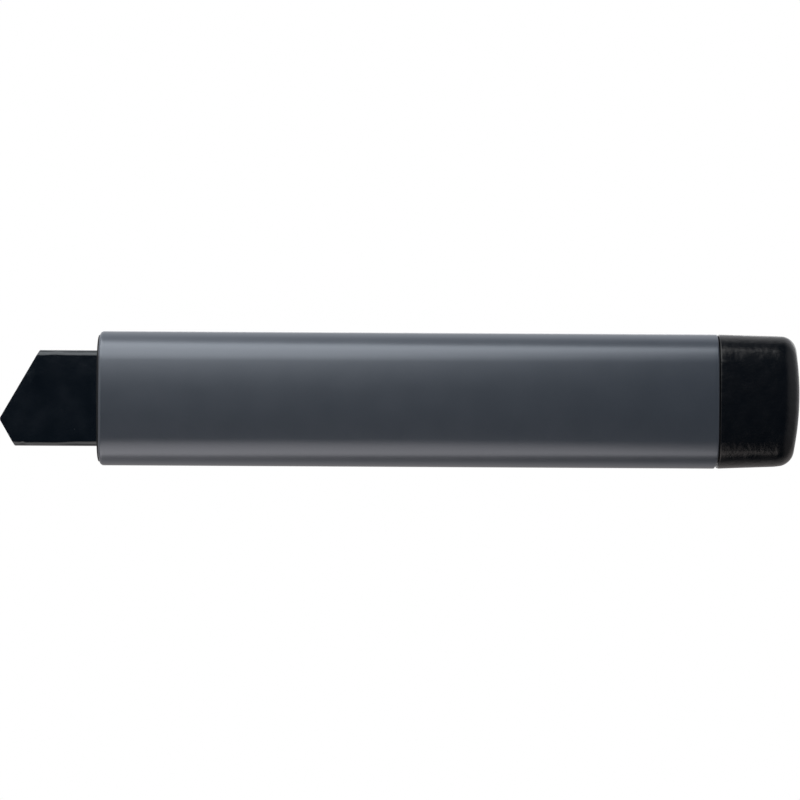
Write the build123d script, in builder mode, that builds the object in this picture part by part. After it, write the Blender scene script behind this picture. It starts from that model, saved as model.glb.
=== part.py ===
from build123d import *
import os
from math import cos, radians, sin, tan

# Snap-off utility knife for 18 mm blades, blade drawn in. Millimetres.
# Frame: +X from the blade's tip to the end cap, +Z from the cutting edge to the spine,
# -Y out of the smooth back face, +Y out of the face with the thumb button. The origin is
# on the housing's lower flat strip, at the middle of the housing's length.

# Housing: an extruded flat tube
WIDTH = 28.2
THICKNESS = 14.4
CORNER_RADIUS = 5.4
CROWN_ANGLE = 5.0
FACE_FLAT = 4.0
WALL = 1.2
HOUSING_LENGTH = 129.8
HOUSING_FRONT = -HOUSING_LENGTH / 2
HOUSING_REAR = HOUSING_LENGTH / 2
MOUTH_ROUNDING = 0.8
TAIL_ROUNDING = 0.4

# The section's broad faces are flat in the middle, then long arcs that meet the corner
# arcs at CROWN_ANGLE
CORNER_CENTRE = WIDTH / 2 - CORNER_RADIUS
CROWN_RADIUS = (CORNER_CENTRE - FACE_FLAT) / sin(radians(CROWN_ANGLE)) + CORNER_RADIUS
CROWN_DROP = CROWN_RADIUS * (1 - cos(radians(CROWN_ANGLE)))
SIDE_FLAT = THICKNESS / 2 - CROWN_DROP - CORNER_RADIUS * cos(radians(CROWN_ANGLE))

# Blade channel: folded sheet, open towards +Y
NOSE_LENGTH = 21.0
NOSE_TIP = HOUSING_FRONT - NOSE_LENGTH
CHANNEL_LENGTH = 132.0
CHANNEL_WIDTH = 20.2
CHANNEL_DEPTH = 2.6
SHEET = 0.8
CHANNEL_BEND = 1.2
CHANNEL_OPENING = 8.0
NOSE_SLOPE = tan(radians(60.5))
NOSE_TIP_BELOW_MIDDLE = 4.4
NOSE_TIP_ROUNDING = 0.3
NOTCH_PITCH = 2.5
NOTCH_HALF_WIDTH = 1.0
NOTCH_DEPTH = 0.8

# Snap-off blade
BLADE_LENGTH = 100.0
BLADE_WIDTH = 18.0
BLADE_THICKNESS = 0.5
BLADE_BEVEL = 2.0
BLADE_EDGE = 0.04
SEGMENT = 10.0
SCORE_WIDTH = 0.25
SCORE_DEPTH = 0.12
BLADE_HOLE = 5.0
HOLE_FROM_TIP = 88.3
BLADE_TIP = NOSE_TIP + 3.2

# Slider and thumb button
TRAVEL = 60.0
BUTTON_X = NOSE_TIP + 106.0
CARRIAGE_FRONT = NOSE_TIP + 86.0
CARRIAGE_REAR = NOSE_TIP + 118.0
CARRIAGE_WIDTH = 17.0
CARRIAGE_BOTTOM = 1.45
CARRIAGE_TOP = 5.2
NECK_X = 93.5
NECK_LENGTH = 13.0
NECK_DEPTH = 1.0
FOOT_X = 114.5
FOOT_LENGTH = 5.0
FOOT_DEPTH = 1.8
NECK_WIDTH = CHANNEL_OPENING - 0.8
PLINTH_LENGTH = 22.0
PLINTH_WIDTH = 8.4
PLINTH_TOP = 9.7
BUTTON_LENGTH = 27.0
BUTTON_WIDTH = 15.0
BUTTON_BOTTOM = 8.45
BUTTON_TOP = 11.4
BUTTON_CEILING = 10.8
BUTTON_PLAY = 0.6
BUTTON_CORNER = 4.0
BUTTON_ROUNDING = 1.0
STUD_RADIUS = 0.8
STUD_LENGTH = 1.0
STEM_LENGTH = 5.0
STEM_WIDTH = 3.0
STEM_PLAY = 0.3
PAWL_TOP = 1.3
PAWL_THICKNESS = 0.8
PAWL_LENGTH = 8.0
PAWL_WIDTH = 7.4
SPRING_OFFSET = 6.5
SPRING_POCKET = 3.4
SPRING_SEAT = 6.0
SPRING_WIRE = 0.3
SPRING_RADIUS = 1.25
SPRING_PITCH = 0.85
SPRING_PLAY = 0.03
PIN_X = BLADE_TIP + HOLE_FROM_TIP
PIN_RADIUS = 2.4
PIN_HEAD_RADIUS = 3.2
PIN_SHOULDER = 3.6
PIN_HEAD = 0.8
PIN_END = 0.42
PAWL_SCREW_RADIUS = 0.8
PAWL_SCREW_LENGTH = 5.0
PAWL_SCREW_HEAD = 0.6
PAWL_SCREW_HEAD_RADIUS = 1.4
TOOTH_HALF_WIDTH = 1.135
TOOTH_DEPTH = 0.908
PAD_LENGTH = 21.0
PAD_WIDTH = 10.0
PAD_CORNER = 2.2
PAD_SEAT = 0.3
PAD_RIB = 0.7
PAD_RIBS = 8
PAD_PITCH = 2.4

# Slot in the housing and its liner
END_PLAY = 0.6
SLOT_FRONT = BUTTON_X - PLINTH_LENGTH / 2 - TRAVEL - END_PLAY
SLOT_REAR = BUTTON_X + PLINTH_LENGTH / 2 + END_PLAY
SLOT_CLEAR_LENGTH = SLOT_REAR - SLOT_FRONT
SLOT_MIDDLE = (SLOT_REAR + SLOT_FRONT) / 2
SLOT_CLEAR_WIDTH = 9.0
LINER_SKIRT = 1.0
LINER_LIP = 2.4
LINER_BOTTOM = 5.7
LINER_SEAT = 6.75
LINER_TOP = 7.35
FIT = 0.05

# Rear block, cap and magazine
COLLAR_DEPTH = 4.0
COLLAR_LIP = 0.35
RAIL_PLAY = 0.1
RAIL_SECTION = (
    (-1.35, 10.15), (1.4, 10.15), (1.4, 9.0), (3.2, 9.0), (3.2, 12.1), (2.5, 12.7), (-1.35, 12.8),
)
BLOCK_FRONT = HOUSING_REAR - 22.9
BLOCK_REAR = HOUSING_REAR - 5.5
BLOCK_BACK = -1.45
CHANNEL_REAR = NOSE_TIP + CHANNEL_LENGTH
RIVET_X = CHANNEL_REAR - 1.8
RIVET_SPACING = 14.0
RIVET_RADIUS = 0.9
RIVET_LENGTH = 4.8
RIVET_HEAD_RADIUS = 1.4
RIVET_HEAD = 0.4
SCREW_X = HOUSING_REAR - 10.5
SCREW_SPACING = 16.0
SCREW_TOP = 6.86
SCREW_HEAD_RADIUS = 1.8
SCREW_HEAD_HEIGHT = 1.0
SCREW_SHANK_RADIUS = 0.8
SCREW_SHANK = 4.3
SCREW_PLAY = 0.05
SCREW_CLEARANCE = 1.15
CROSS_SLOT = (2.0, 0.45)
CAP_SEAM = 0.1
CAP_LENGTH = 17.4
CAP_FRONT = HOUSING_REAR + CAP_SEAM
CAP_END = CAP_FRONT + CAP_LENGTH
CAP_TAPER = 2.5
CAP_CROWN = 55.0
CAP_ROUNDING = 2.5
CAP_WALL = 1.9
PLUG_REAR = HOUSING_REAR + 12.5
PLUG_PLAY = 0.3
PLUG_FIT = 0.15
PLUG_WALL = 1.8
ARM_FRONT = HOUSING_REAR - 12.5
TAIL_END = HOUSING_REAR + 2.0
CASSETTE_PIN_X = HOUSING_REAR - 2.2
CASSETTE_PIN_RADIUS = 0.8
CASSETTE_PIN_LENGTH = 8.5
TRAY_FRONT = -44.2
TRAY_WIDTH = 21.0
TRAY_BOTTOM = -5.2
TRAY_TOP = -1.7
TRAY_WALL = 1.2
TRAY_FLOOR = 0.7
TRAY_ROUNDING = 1.2
TAIL_WIDTH = 14.0
SPARE_ROOM = BLADE_LENGTH + 0.8
TRAY_REAR = TRAY_FRONT + SPARE_ROOM + 2 * TRAY_WALL
SPARE_TIP = TRAY_FRONT + TRAY_WALL + 0.4
COVER_WIDTH = 19.4
COVER_THICKNESS = 0.45
COVER_LEDGE = 0.6
COVER_WINDOW = (60, 8)
FINGER_WINDOW = (34, 9)
FINGER_WINDOW_X = 40
LEAF = 0.2
LEAF_WIDTH = 6.0
SPRING_FRONT = TRAY_FRONT + 15
SPRING_WAVES = 3
SPRING_WAVE_LENGTH = 24.0
SPRING_LOW = -3.05
SPRING_HIGH = -2.25
ARM_WIDTH = 4.0
ARM_OFFSET = 3.6
ARM_THICKNESS = 1.8
ARM_MIDDLE = 3.2
ARM_DETENT = 0.35
BUMP = (0.6, 3.0)

# How a cylinder or cone sits on its plane
ON_PLANE = (Align.CENTER, Align.CENTER, Align.MIN)
BELOW_PLANE = (Align.CENTER, Align.CENTER, Align.MAX)


def cross_plane(x):
    """Plane across the knife at x: sketch x is Y, sketch y is the height from the middle."""
    return Plane(origin=(x, 0, WIDTH / 2), x_dir=(0, 1, 0), z_dir=(1, 0, 0))


def face_plane(y, x=0.0):
    """Plane along the knife at y: sketch x is X from x, sketch y is the height from the
    middle. Extrusions run towards the smooth back, -Y."""
    return Plane(origin=(x, y, WIDTH / 2), x_dir=(1, 0, 0), z_dir=(0, -1, 0))


def up_plane(x, y, height):
    """Plane at a point beside the middle, with its normal out of the button's face, +Y."""
    return Plane(origin=(x, y, WIDTH / 2 + height), x_dir=(-1, 0, 0), z_dir=(0, 1, 0))


def tube_section(inset=0.0):
    """Sketch of the flat tube's section, with its outline moved in by inset."""
    corner = CORNER_RADIUS - inset
    side = WIDTH / 2 - inset
    bend = 90 - CROWN_ANGLE
    with BuildSketch(Plane.XY) as section:
        with BuildLine():
            for face, turn in ((1, 0), (-1, 180)):
                crown_x = face * (THICKNESS / 2 - CROWN_RADIUS)
                broad = face * (THICKNESS / 2 - inset)
                CenterArc((crown_x, face * FACE_FLAT), CROWN_RADIUS - inset, turn, CROWN_ANGLE)
                CenterArc(
                    (crown_x, -face * FACE_FLAT), CROWN_RADIUS - inset, turn - CROWN_ANGLE, CROWN_ANGLE
                )
                CenterArc((face * SIDE_FLAT, face * CORNER_CENTRE), corner, turn + CROWN_ANGLE, bend)
                CenterArc((face * SIDE_FLAT, -face * CORNER_CENTRE), corner, turn - 90, bend)
                Line((broad, -FACE_FLAT), (broad, FACE_FLAT))
                Line((SIDE_FLAT, face * side), (-SIDE_FLAT, face * side))
        make_face()
    return section.sketch


def snap_blade(tip_x, middle_y):
    """A snap-off blade with its tip at tip_x, cutting edge down."""
    half, half_width = BLADE_THICKNESS / 2, BLADE_WIDTH / 2
    edge = BLADE_EDGE / 2
    slant = BLADE_WIDTH / NOSE_SLOPE
    with BuildPart() as blade_body:
        with BuildSketch(cross_plane(tip_x)):
            with BuildLine():
                Polyline(
                    (middle_y - half, half_width),
                    (middle_y + half, half_width),
                    (middle_y + half, BLADE_BEVEL - half_width),
                    (middle_y + edge, -half_width),
                    (middle_y - edge, -half_width),
                    (middle_y - half, BLADE_BEVEL - half_width),
                    close=True,
                )
            make_face()
        extrude(amount=BLADE_LENGTH)
        with BuildSketch(face_plane(middle_y + 1, tip_x)):
            with BuildLine():
                Polyline(
                    (0, -half_width),
                    (BLADE_LENGTH - slant, -half_width),
                    (BLADE_LENGTH, half_width),
                    (slant, half_width),
                    close=True,
                )
            make_face()
            with Locations((HOLE_FROM_TIP, 0)):
                Circle(BLADE_HOLE / 2, mode=Mode.SUBTRACT)
        extrude(amount=2, mode=Mode.INTERSECT)
        with BuildSketch(face_plane(middle_y + half + 1, tip_x)):
            for count in range(1, 8):
                with Locations((count * SEGMENT + slant / 2, 0)):
                    Rectangle(SCORE_WIDTH, 2 * BLADE_WIDTH, rotation=-29.5)
        extrude(amount=1 + SCORE_DEPTH, mode=Mode.SUBTRACT)
    return blade_body.part


def rail(side):
    """One guide rail: side is 1 for the spine, -1 for the cutting edge."""
    with BuildPart() as strip:
        with BuildSketch(cross_plane(HOUSING_FRONT + COLLAR_DEPTH + RAIL_PLAY)):
            with BuildLine():
                Polyline(*[(y, side * height) for y, height in RAIL_SECTION], close=True)
            make_face()
        extrude(amount=BLOCK_FRONT - HOUSING_FRONT - COLLAR_DEPTH - 2 * RAIL_PLAY)
    return strip.part


# ---- Fixed pieces -------------------------------------------------------------------

SCREW_PLANES = [up_plane(SCREW_X, SCREW_TOP, side * SCREW_SPACING / 2) for side in (1, -1)]
RIVET_PLANES = [
    up_plane(RIVET_X, -CHANNEL_DEPTH / 2, side * RIVET_SPACING / 2) for side in (1, -1)
]

with BuildPart() as housing:
    with BuildSketch(cross_plane(HOUSING_FRONT)):
        add(tube_section())
    extrude(amount=HOUSING_LENGTH)
    fillet(housing.faces().sort_by(Axis.X)[0].edges(), radius=MOUTH_ROUNDING)
    fillet(housing.faces().sort_by(Axis.X)[-1].edges(), radius=TAIL_ROUNDING)
    with BuildSketch(cross_plane(HOUSING_FRONT)):
        add(tube_section(WALL))
    extrude(amount=HOUSING_LENGTH, mode=Mode.SUBTRACT)
    # Slot for the slider, then the flat milled seat of its liner
    with BuildSketch(face_plane(THICKNESS / 2 + 1, SLOT_MIDDLE)):
        RectangleRounded(
            SLOT_CLEAR_LENGTH + 2 * LINER_SKIRT, SLOT_CLEAR_WIDTH + 2 * LINER_SKIRT, 2.0
        )
    extrude(amount=4, mode=Mode.SUBTRACT)
    with BuildSketch(face_plane(THICKNESS / 2 + 1, SLOT_MIDDLE)):
        RectangleRounded(
            SLOT_CLEAR_LENGTH + 2 * LINER_LIP, SLOT_CLEAR_WIDTH + 2 * LINER_LIP, 3.4
        )
    extrude(amount=THICKNESS / 2 + 1 - LINER_SEAT, mode=Mode.SUBTRACT)
    with Locations(*SCREW_PLANES):
        CounterSinkHole(
            radius=SCREW_CLEARANCE, counter_sink_radius=SCREW_HEAD_RADIUS + SCREW_PLAY, depth=4
        )
housing.part.label = "housing"

with BuildPart() as blade_channel:
    with BuildSketch(cross_plane(NOSE_TIP)):
        RectangleRounded(CHANNEL_DEPTH, CHANNEL_WIDTH, CHANNEL_BEND)
        RectangleRounded(
            CHANNEL_DEPTH - 2 * SHEET, CHANNEL_WIDTH - 2 * SHEET, CHANNEL_BEND - SHEET,
            mode=Mode.SUBTRACT,
        )
        with Locations((CHANNEL_DEPTH / 2, 0)):
            Rectangle(CHANNEL_DEPTH, CHANNEL_OPENING, mode=Mode.SUBTRACT)
    extrude(amount=CHANNEL_LENGTH)
    # Five-sided nose
    half_channel = CHANNEL_WIDTH / 2
    with BuildSketch(face_plane(CHANNEL_DEPTH, NOSE_TIP)):
        with BuildLine():
            Polyline(
                (0, -NOSE_TIP_BELOW_MIDDLE),
                ((half_channel + NOSE_TIP_BELOW_MIDDLE) / NOSE_SLOPE, half_channel),
                (CHANNEL_LENGTH, half_channel),
                (CHANNEL_LENGTH, -half_channel),
                ((half_channel - NOSE_TIP_BELOW_MIDDLE) / NOSE_SLOPE, -half_channel),
                close=True,
            )
        make_face()
        fillet(vertices().sort_by(Axis.X)[0], radius=NOSE_TIP_ROUNDING)
    extrude(amount=2 * CHANNEL_DEPTH, mode=Mode.INTERSECT)
    # Notches for the catch, on both lips
    with BuildSketch(face_plane(CHANNEL_DEPTH, BUTTON_X - TRAVEL / 2)):
        with GridLocations(NOTCH_PITCH, CHANNEL_OPENING, round(TRAVEL / NOTCH_PITCH) + 3, 2):
            Polygon(
                (NOTCH_HALF_WIDTH, 0), (0, NOTCH_DEPTH), (-NOTCH_HALF_WIDTH, 0), (0, -NOTCH_DEPTH)
            )
    extrude(amount=CHANNEL_DEPTH, mode=Mode.SUBTRACT)
    with Locations(*RIVET_PLANES):
        Cylinder(RIVET_RADIUS + FIT, 2 * CHANNEL_DEPTH, mode=Mode.SUBTRACT)
        Cylinder(RIVET_HEAD_RADIUS + FIT, 2 * (RIVET_HEAD + FIT), mode=Mode.SUBTRACT)
blade_channel.part.label = "blade_channel"

with BuildPart() as front_collar:
    with BuildSketch(cross_plane(HOUSING_FRONT)):
        add(tube_section(WALL + FIT))
    extrude(amount=COLLAR_DEPTH)
    with BuildSketch(cross_plane(HOUSING_FRONT)):
        add(tube_section(MOUTH_ROUNDING))
    extrude(amount=-COLLAR_LIP)
    with BuildSketch(cross_plane(HOUSING_FRONT - COLLAR_LIP)):
        RectangleRounded(CHANNEL_DEPTH + 2 * FIT, CHANNEL_WIDTH + 2 * FIT, CHANNEL_BEND)
    extrude(amount=COLLAR_DEPTH + COLLAR_LIP, mode=Mode.SUBTRACT)
front_collar.part.label = "front_collar"

with BuildPart() as slot_liner:
    with BuildSketch(face_plane(LINER_TOP, SLOT_MIDDLE)):
        RectangleRounded(
            SLOT_CLEAR_LENGTH + 2 * LINER_LIP - 2 * FIT, SLOT_CLEAR_WIDTH + 2 * LINER_LIP - 2 * FIT, 3.3
        )
    extrude(amount=LINER_TOP - LINER_SEAT)
    chamfer(slot_liner.faces().sort_by(Axis.Y)[-1].edges(), length=0.2)
    with BuildSketch(face_plane(LINER_SEAT, SLOT_MIDDLE)):
        RectangleRounded(
            SLOT_CLEAR_LENGTH + 2 * LINER_SKIRT - 2 * FIT,
            SLOT_CLEAR_WIDTH + 2 * LINER_SKIRT - 2 * FIT,
            1.95,
        )
    extrude(amount=LINER_SEAT - LINER_BOTTOM)
    with BuildSketch(face_plane(LINER_TOP, SLOT_MIDDLE)):
        RectangleRounded(SLOT_CLEAR_LENGTH, SLOT_CLEAR_WIDTH, 1.0)
    extrude(amount=LINER_TOP - LINER_BOTTOM, mode=Mode.SUBTRACT)
slot_liner.part.label = "slot_liner"

with BuildPart() as upper_rail:
    add(rail(1))
upper_rail.part.label = "upper_rail"

with BuildPart() as lower_rail:
    add(rail(-1))
lower_rail.part.label = "lower_rail"

with BuildPart() as rear_block:
    with BuildSketch(cross_plane(BLOCK_FRONT)):
        add(tube_section(WALL + FIT))
        with Locations((BLOCK_BACK - 5, 0)):
            Rectangle(10, 2 * WIDTH, mode=Mode.SUBTRACT)
    extrude(amount=BLOCK_REAR - BLOCK_FRONT)
    # Socket for the rear end of the channel
    with BuildSketch(cross_plane(BLOCK_FRONT)):
        Rectangle(CHANNEL_DEPTH + 2 * FIT, CHANNEL_WIDTH + 2 * FIT)
        with Locations((-2, 0)):
            Rectangle(4, CHANNEL_WIDTH + 2 * FIT)
    extrude(amount=CHANNEL_REAR - BLOCK_FRONT + FIT, mode=Mode.SUBTRACT)
    # Two pockets for the detent arms of the cap plug
    with BuildSketch(cross_plane(ARM_FRONT - 1)):
        with Locations((ARM_MIDDLE, ARM_OFFSET), (ARM_MIDDLE, -ARM_OFFSET)):
            Rectangle(ARM_THICKNESS + 1.2, ARM_WIDTH + 0.6)
    extrude(amount=BLOCK_REAR - ARM_FRONT + 1, mode=Mode.SUBTRACT)
    with Locations(*[up_plane(SCREW_X, 2.4, side * SCREW_SPACING / 2) for side in (1, -1)]):
        Cylinder(0.85, 6, align=ON_PLANE, mode=Mode.SUBTRACT)
    with Locations(*[up_plane(RIVET_X, 1.0, side * RIVET_SPACING / 2) for side in (1, -1)]):
        Cylinder(RIVET_RADIUS + FIT, 2.6, align=ON_PLANE, mode=Mode.SUBTRACT)
rear_block.part.label = "rear_block"

with BuildPart() as channel_rivets:
    with Locations(*RIVET_PLANES):
        Cylinder(RIVET_RADIUS, RIVET_LENGTH, align=ON_PLANE)
        Cylinder(RIVET_HEAD_RADIUS, RIVET_HEAD, align=ON_PLANE)
channel_rivets.part.label = "channel_rivets"

with BuildPart() as rear_screws:
    with Locations(*SCREW_PLANES):
        Cylinder(SCREW_SHANK_RADIUS, SCREW_SHANK, align=BELOW_PLANE)
        Cone(
            SCREW_SHANK_RADIUS, SCREW_HEAD_RADIUS, SCREW_HEAD_HEIGHT,
            align=BELOW_PLANE,
        )
    with Locations(*SCREW_PLANES):
        with PolarLocations(0, 2, angular_range=180):
            Box(*CROSS_SLOT, SCREW_HEAD_HEIGHT, mode=Mode.SUBTRACT)
rear_screws.part.label = "rear_screws"

# ---- Slider: carriage, pin and blade ------------------------------------------------

with BuildPart() as carriage:
    with BuildSketch(face_plane(CARRIAGE_TOP, CARRIAGE_FRONT)):
        with Locations(((CARRIAGE_REAR - CARRIAGE_FRONT) / 2, 0)):
            RectangleRounded(CARRIAGE_REAR - CARRIAGE_FRONT, CARRIAGE_WIDTH, 1.5)
    extrude(amount=CARRIAGE_TOP - CARRIAGE_BOTTOM)
    chamfer(carriage.faces().sort_by(Axis.Y)[-1].edges(), length=0.5)
    # Plinth that stands up through the slot
    with BuildSketch(face_plane(PLINTH_TOP, BUTTON_X)):
        RectangleRounded(PLINTH_LENGTH, PLINTH_WIDTH, 1.2)
    extrude(amount=PLINTH_TOP - CARRIAGE_TOP + 1)
    # Neck over the blade and foot behind it, both between the lips of the channel
    with BuildSketch(face_plane(CARRIAGE_BOTTOM + 1, NOSE_TIP)):
        with Locations((NECK_X, 0)):
            RectangleRounded(NECK_LENGTH, NECK_WIDTH, 1.0)
    extrude(amount=NECK_DEPTH + 1)
    with BuildSketch(face_plane(CARRIAGE_BOTTOM + 1, NOSE_TIP)):
        with Locations((FOOT_X, 0)):
            RectangleRounded(FOOT_LENGTH, NECK_WIDTH, 1.0)
    extrude(amount=FOOT_DEPTH + 1)
    # Way for the button's stem, seats for its springs, stepped bore for the blade pin
    with BuildSketch(face_plane(PLINTH_TOP + 1, BUTTON_X)):
        Rectangle(STEM_LENGTH + STEM_PLAY, STEM_WIDTH + STEM_PLAY)
    extrude(amount=PLINTH_TOP + 2, mode=Mode.SUBTRACT)
    with Locations(*[up_plane(BUTTON_X + side * SPRING_OFFSET, SPRING_SEAT, 0) for side in (1, -1)]):
        Cylinder(SPRING_POCKET / 2, 8, align=ON_PLANE, mode=Mode.SUBTRACT)
    with Locations(up_plane(PIN_X, PIN_SHOULDER, 0)):
        Cylinder(PIN_RADIUS + FIT, 12, mode=Mode.SUBTRACT)
        Cylinder(PIN_HEAD_RADIUS + FIT, 8, align=ON_PLANE, mode=Mode.SUBTRACT)
carriage.part.label = "carriage"

with BuildPart() as blade_pin:
    with Locations(up_plane(PIN_X, PIN_SHOULDER, 0)):
        Cylinder(PIN_RADIUS, PIN_SHOULDER + PIN_END, align=BELOW_PLANE)
        Cylinder(PIN_HEAD_RADIUS, PIN_HEAD, align=ON_PLANE)
    chamfer(blade_pin.faces().sort_by(Axis.Y)[0].edges(), length=0.15)
    fillet(blade_pin.faces().sort_by(Axis.Y)[-1].edges(), radius=0.25)
blade_pin.part.label = "blade_pin"

with BuildPart() as blade:
    add(snap_blade(BLADE_TIP, 0))
blade.part.label = "blade"

with BuildPart() as button_springs:
    spring_height = BUTTON_CEILING - SPRING_SEAT - SPRING_WIRE - 2 * SPRING_PLAY
    for side in (1, -1):
        seat = up_plane(BUTTON_X + side * SPRING_OFFSET, SPRING_SEAT + SPRING_WIRE / 2 + SPRING_PLAY, 0)
        with BuildLine():
            coil = Helix(
                SPRING_PITCH, spring_height, SPRING_RADIUS, center=seat.origin, direction=seat.z_dir
            )
        with BuildSketch(Plane(origin=coil @ 0, z_dir=coil % 0)):
            Circle(SPRING_WIRE / 2)
        sweep(is_frenet=True)
button_springs.part.label = "button_springs"

# ---- Thumb button -------------------------------------------------------------------

with BuildPart() as thumb_button:
    with BuildSketch(face_plane(BUTTON_TOP, BUTTON_X)):
        RectangleRounded(BUTTON_LENGTH, BUTTON_WIDTH, BUTTON_CORNER)
    extrude(amount=BUTTON_TOP - BUTTON_BOTTOM)
    fillet(thumb_button.faces().sort_by(Axis.Y)[-1].edges(), radius=BUTTON_ROUNDING)
    with BuildSketch(face_plane(BUTTON_CEILING, BUTTON_X)):
        RectangleRounded(PLINTH_LENGTH + BUTTON_PLAY, PLINTH_WIDTH + BUTTON_PLAY, 1.5)
    extrude(amount=BUTTON_CEILING, mode=Mode.SUBTRACT)
    # Seat of the grip pad
    with BuildSketch(face_plane(BUTTON_TOP, BUTTON_X)):
        RectangleRounded(PAD_LENGTH + 2 * FIT, PAD_WIDTH + 2 * FIT, PAD_CORNER)
    extrude(amount=PAD_SEAT, mode=Mode.SUBTRACT)
    # Stem down to the catch, and a stud in each spring
    with BuildSketch(face_plane(BUTTON_CEILING, BUTTON_X)):
        Rectangle(STEM_LENGTH, STEM_WIDTH)
    extrude(amount=BUTTON_CEILING - PAWL_TOP)
    with Locations(*[up_plane(BUTTON_X + side * SPRING_OFFSET, BUTTON_CEILING, 0) for side in (1, -1)]):
        Cylinder(STUD_RADIUS, STUD_LENGTH, align=BELOW_PLANE)
    with Locations(up_plane(BUTTON_X, 0, 0)):
        Cylinder(PAWL_SCREW_RADIUS + FIT, PAWL_SCREW_LENGTH + 1, align=ON_PLANE, mode=Mode.SUBTRACT)
thumb_button.part.label = "thumb_button"

with BuildPart() as grip_pad:
    with BuildSketch(face_plane(BUTTON_TOP, BUTTON_X)):
        RectangleRounded(PAD_LENGTH, PAD_WIDTH, PAD_CORNER)
    extrude(amount=PAD_SEAT)
    with BuildSketch(face_plane(BUTTON_TOP + PAD_RIB, BUTTON_X)):
        with GridLocations(PAD_PITCH, 0, PAD_RIBS, 1):
            SlotOverall(PAD_WIDTH - 1.0, PAD_PITCH * 0.55, rotation=90)
    extrude(amount=PAD_RIB)
grip_pad.part.label = "grip_pad"

with BuildPart() as lock_pawl:
    with BuildSketch(face_plane(PAWL_TOP, BUTTON_X)):
        Rectangle(PAWL_LENGTH, PAWL_WIDTH)
        with GridLocations(NOTCH_PITCH, PAWL_WIDTH, 3, 2):
            Polygon((TOOTH_HALF_WIDTH, 0), (0, TOOTH_DEPTH), (-TOOTH_HALF_WIDTH, 0), (0, -TOOTH_DEPTH))
    extrude(amount=PAWL_THICKNESS)
    with Locations(Plane(origin=(BUTTON_X, PAWL_TOP - PAWL_THICKNESS, WIDTH / 2), z_dir=(0, -1, 0))):
        CounterSinkHole(
            radius=PAWL_SCREW_RADIUS + FIT, counter_sink_radius=PAWL_SCREW_HEAD_RADIUS + FIT, depth=2
        )
lock_pawl.part.label = "lock_pawl"

with BuildPart() as pawl_screw:
    with Locations(up_plane(BUTTON_X, PAWL_TOP - PAWL_THICKNESS, 0)):
        Cylinder(PAWL_SCREW_RADIUS, PAWL_SCREW_LENGTH, align=ON_PLANE)
        Cone(
            PAWL_SCREW_HEAD_RADIUS, PAWL_SCREW_RADIUS, PAWL_SCREW_HEAD,
            align=ON_PLANE,
        )
        Box(1.8, 0.4, PAWL_SCREW_HEAD, mode=Mode.SUBTRACT)
pawl_screw.part.label = "pawl_screw"

# ---- End cap and magazine -----------------------------------------------------------

with BuildPart() as end_cap:
    with BuildSketch(cross_plane(CAP_FRONT)):
        add(tube_section())
    extrude(amount=CAP_LENGTH, taper=CAP_TAPER)
    # Crowned end
    with BuildSketch(face_plane(THICKNESS)):
        with Locations((CAP_END - CAP_CROWN, 0)):
            Circle(CAP_CROWN)
    extrude(amount=2 * THICKNESS, mode=Mode.INTERSECT)
    fillet(end_cap.faces().sort_by(Axis.X)[-1].edges(), radius=CAP_ROUNDING)
    with BuildSketch(cross_plane(CAP_FRONT)):
        add(tube_section(CAP_WALL))
    extrude(amount=PLUG_REAR - CAP_FRONT + PLUG_PLAY, mode=Mode.SUBTRACT)
end_cap.part.label = "end_cap"

with BuildPart() as cap_plug:
    with BuildSketch(cross_plane(BLOCK_REAR + PLUG_PLAY)):
        add(tube_section(WALL + PLUG_FIT))
    extrude(amount=CAP_FRONT - BLOCK_REAR - PLUG_PLAY)
    with BuildSketch(cross_plane(CAP_FRONT)):
        add(tube_section(CAP_WALL + FIT))
    extrude(amount=PLUG_REAR - CAP_FRONT)
    with BuildSketch(cross_plane(ARM_FRONT)):
        with Locations((ARM_MIDDLE, ARM_OFFSET), (ARM_MIDDLE, -ARM_OFFSET)):
            Rectangle(ARM_THICKNESS, ARM_WIDTH)
    extrude(amount=HOUSING_REAR - ARM_FRONT)
    # Detent bumps near the arms' free ends
    for side in (1, -1):
        with BuildSketch(Plane(origin=(ARM_FRONT, 0, WIDTH / 2 + side * ARM_OFFSET - ARM_WIDTH / 2))):
            with BuildLine():
                bump_top = ARM_MIDDLE + ARM_THICKNESS / 2
                low, high = BUMP
                Line((low, bump_top), (high, bump_top))
                ThreePointArc(
                    (low, bump_top), ((low + high) / 2, bump_top + ARM_DETENT), (high, bump_top)
                )
            make_face()
        extrude(amount=ARM_WIDTH)
    # Socket for the tail of the magazine, with its cross pin
    with BuildSketch(cross_plane(BLOCK_REAR)):
        with Locations(((TRAY_BOTTOM + TRAY_TOP) / 2, 0)):
            Rectangle(TRAY_TOP - TRAY_BOTTOM - 0.6, TAIL_WIDTH + 0.2)
    extrude(amount=TAIL_END - BLOCK_REAR + 0.2, mode=Mode.SUBTRACT)
    with Locations(up_plane(CASSETTE_PIN_X, 0, 0)):
        Cylinder(CASSETTE_PIN_RADIUS + FIT, 2 * THICKNESS, mode=Mode.SUBTRACT)
    # Lightening pocket at the rear
    with BuildSketch(cross_plane(PLUG_REAR)):
        add(tube_section(CAP_WALL + PLUG_WALL))
    extrude(amount=-(PLUG_REAR - TAIL_END - 1.5), mode=Mode.SUBTRACT)
cap_plug.part.label = "cap_plug"

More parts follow.
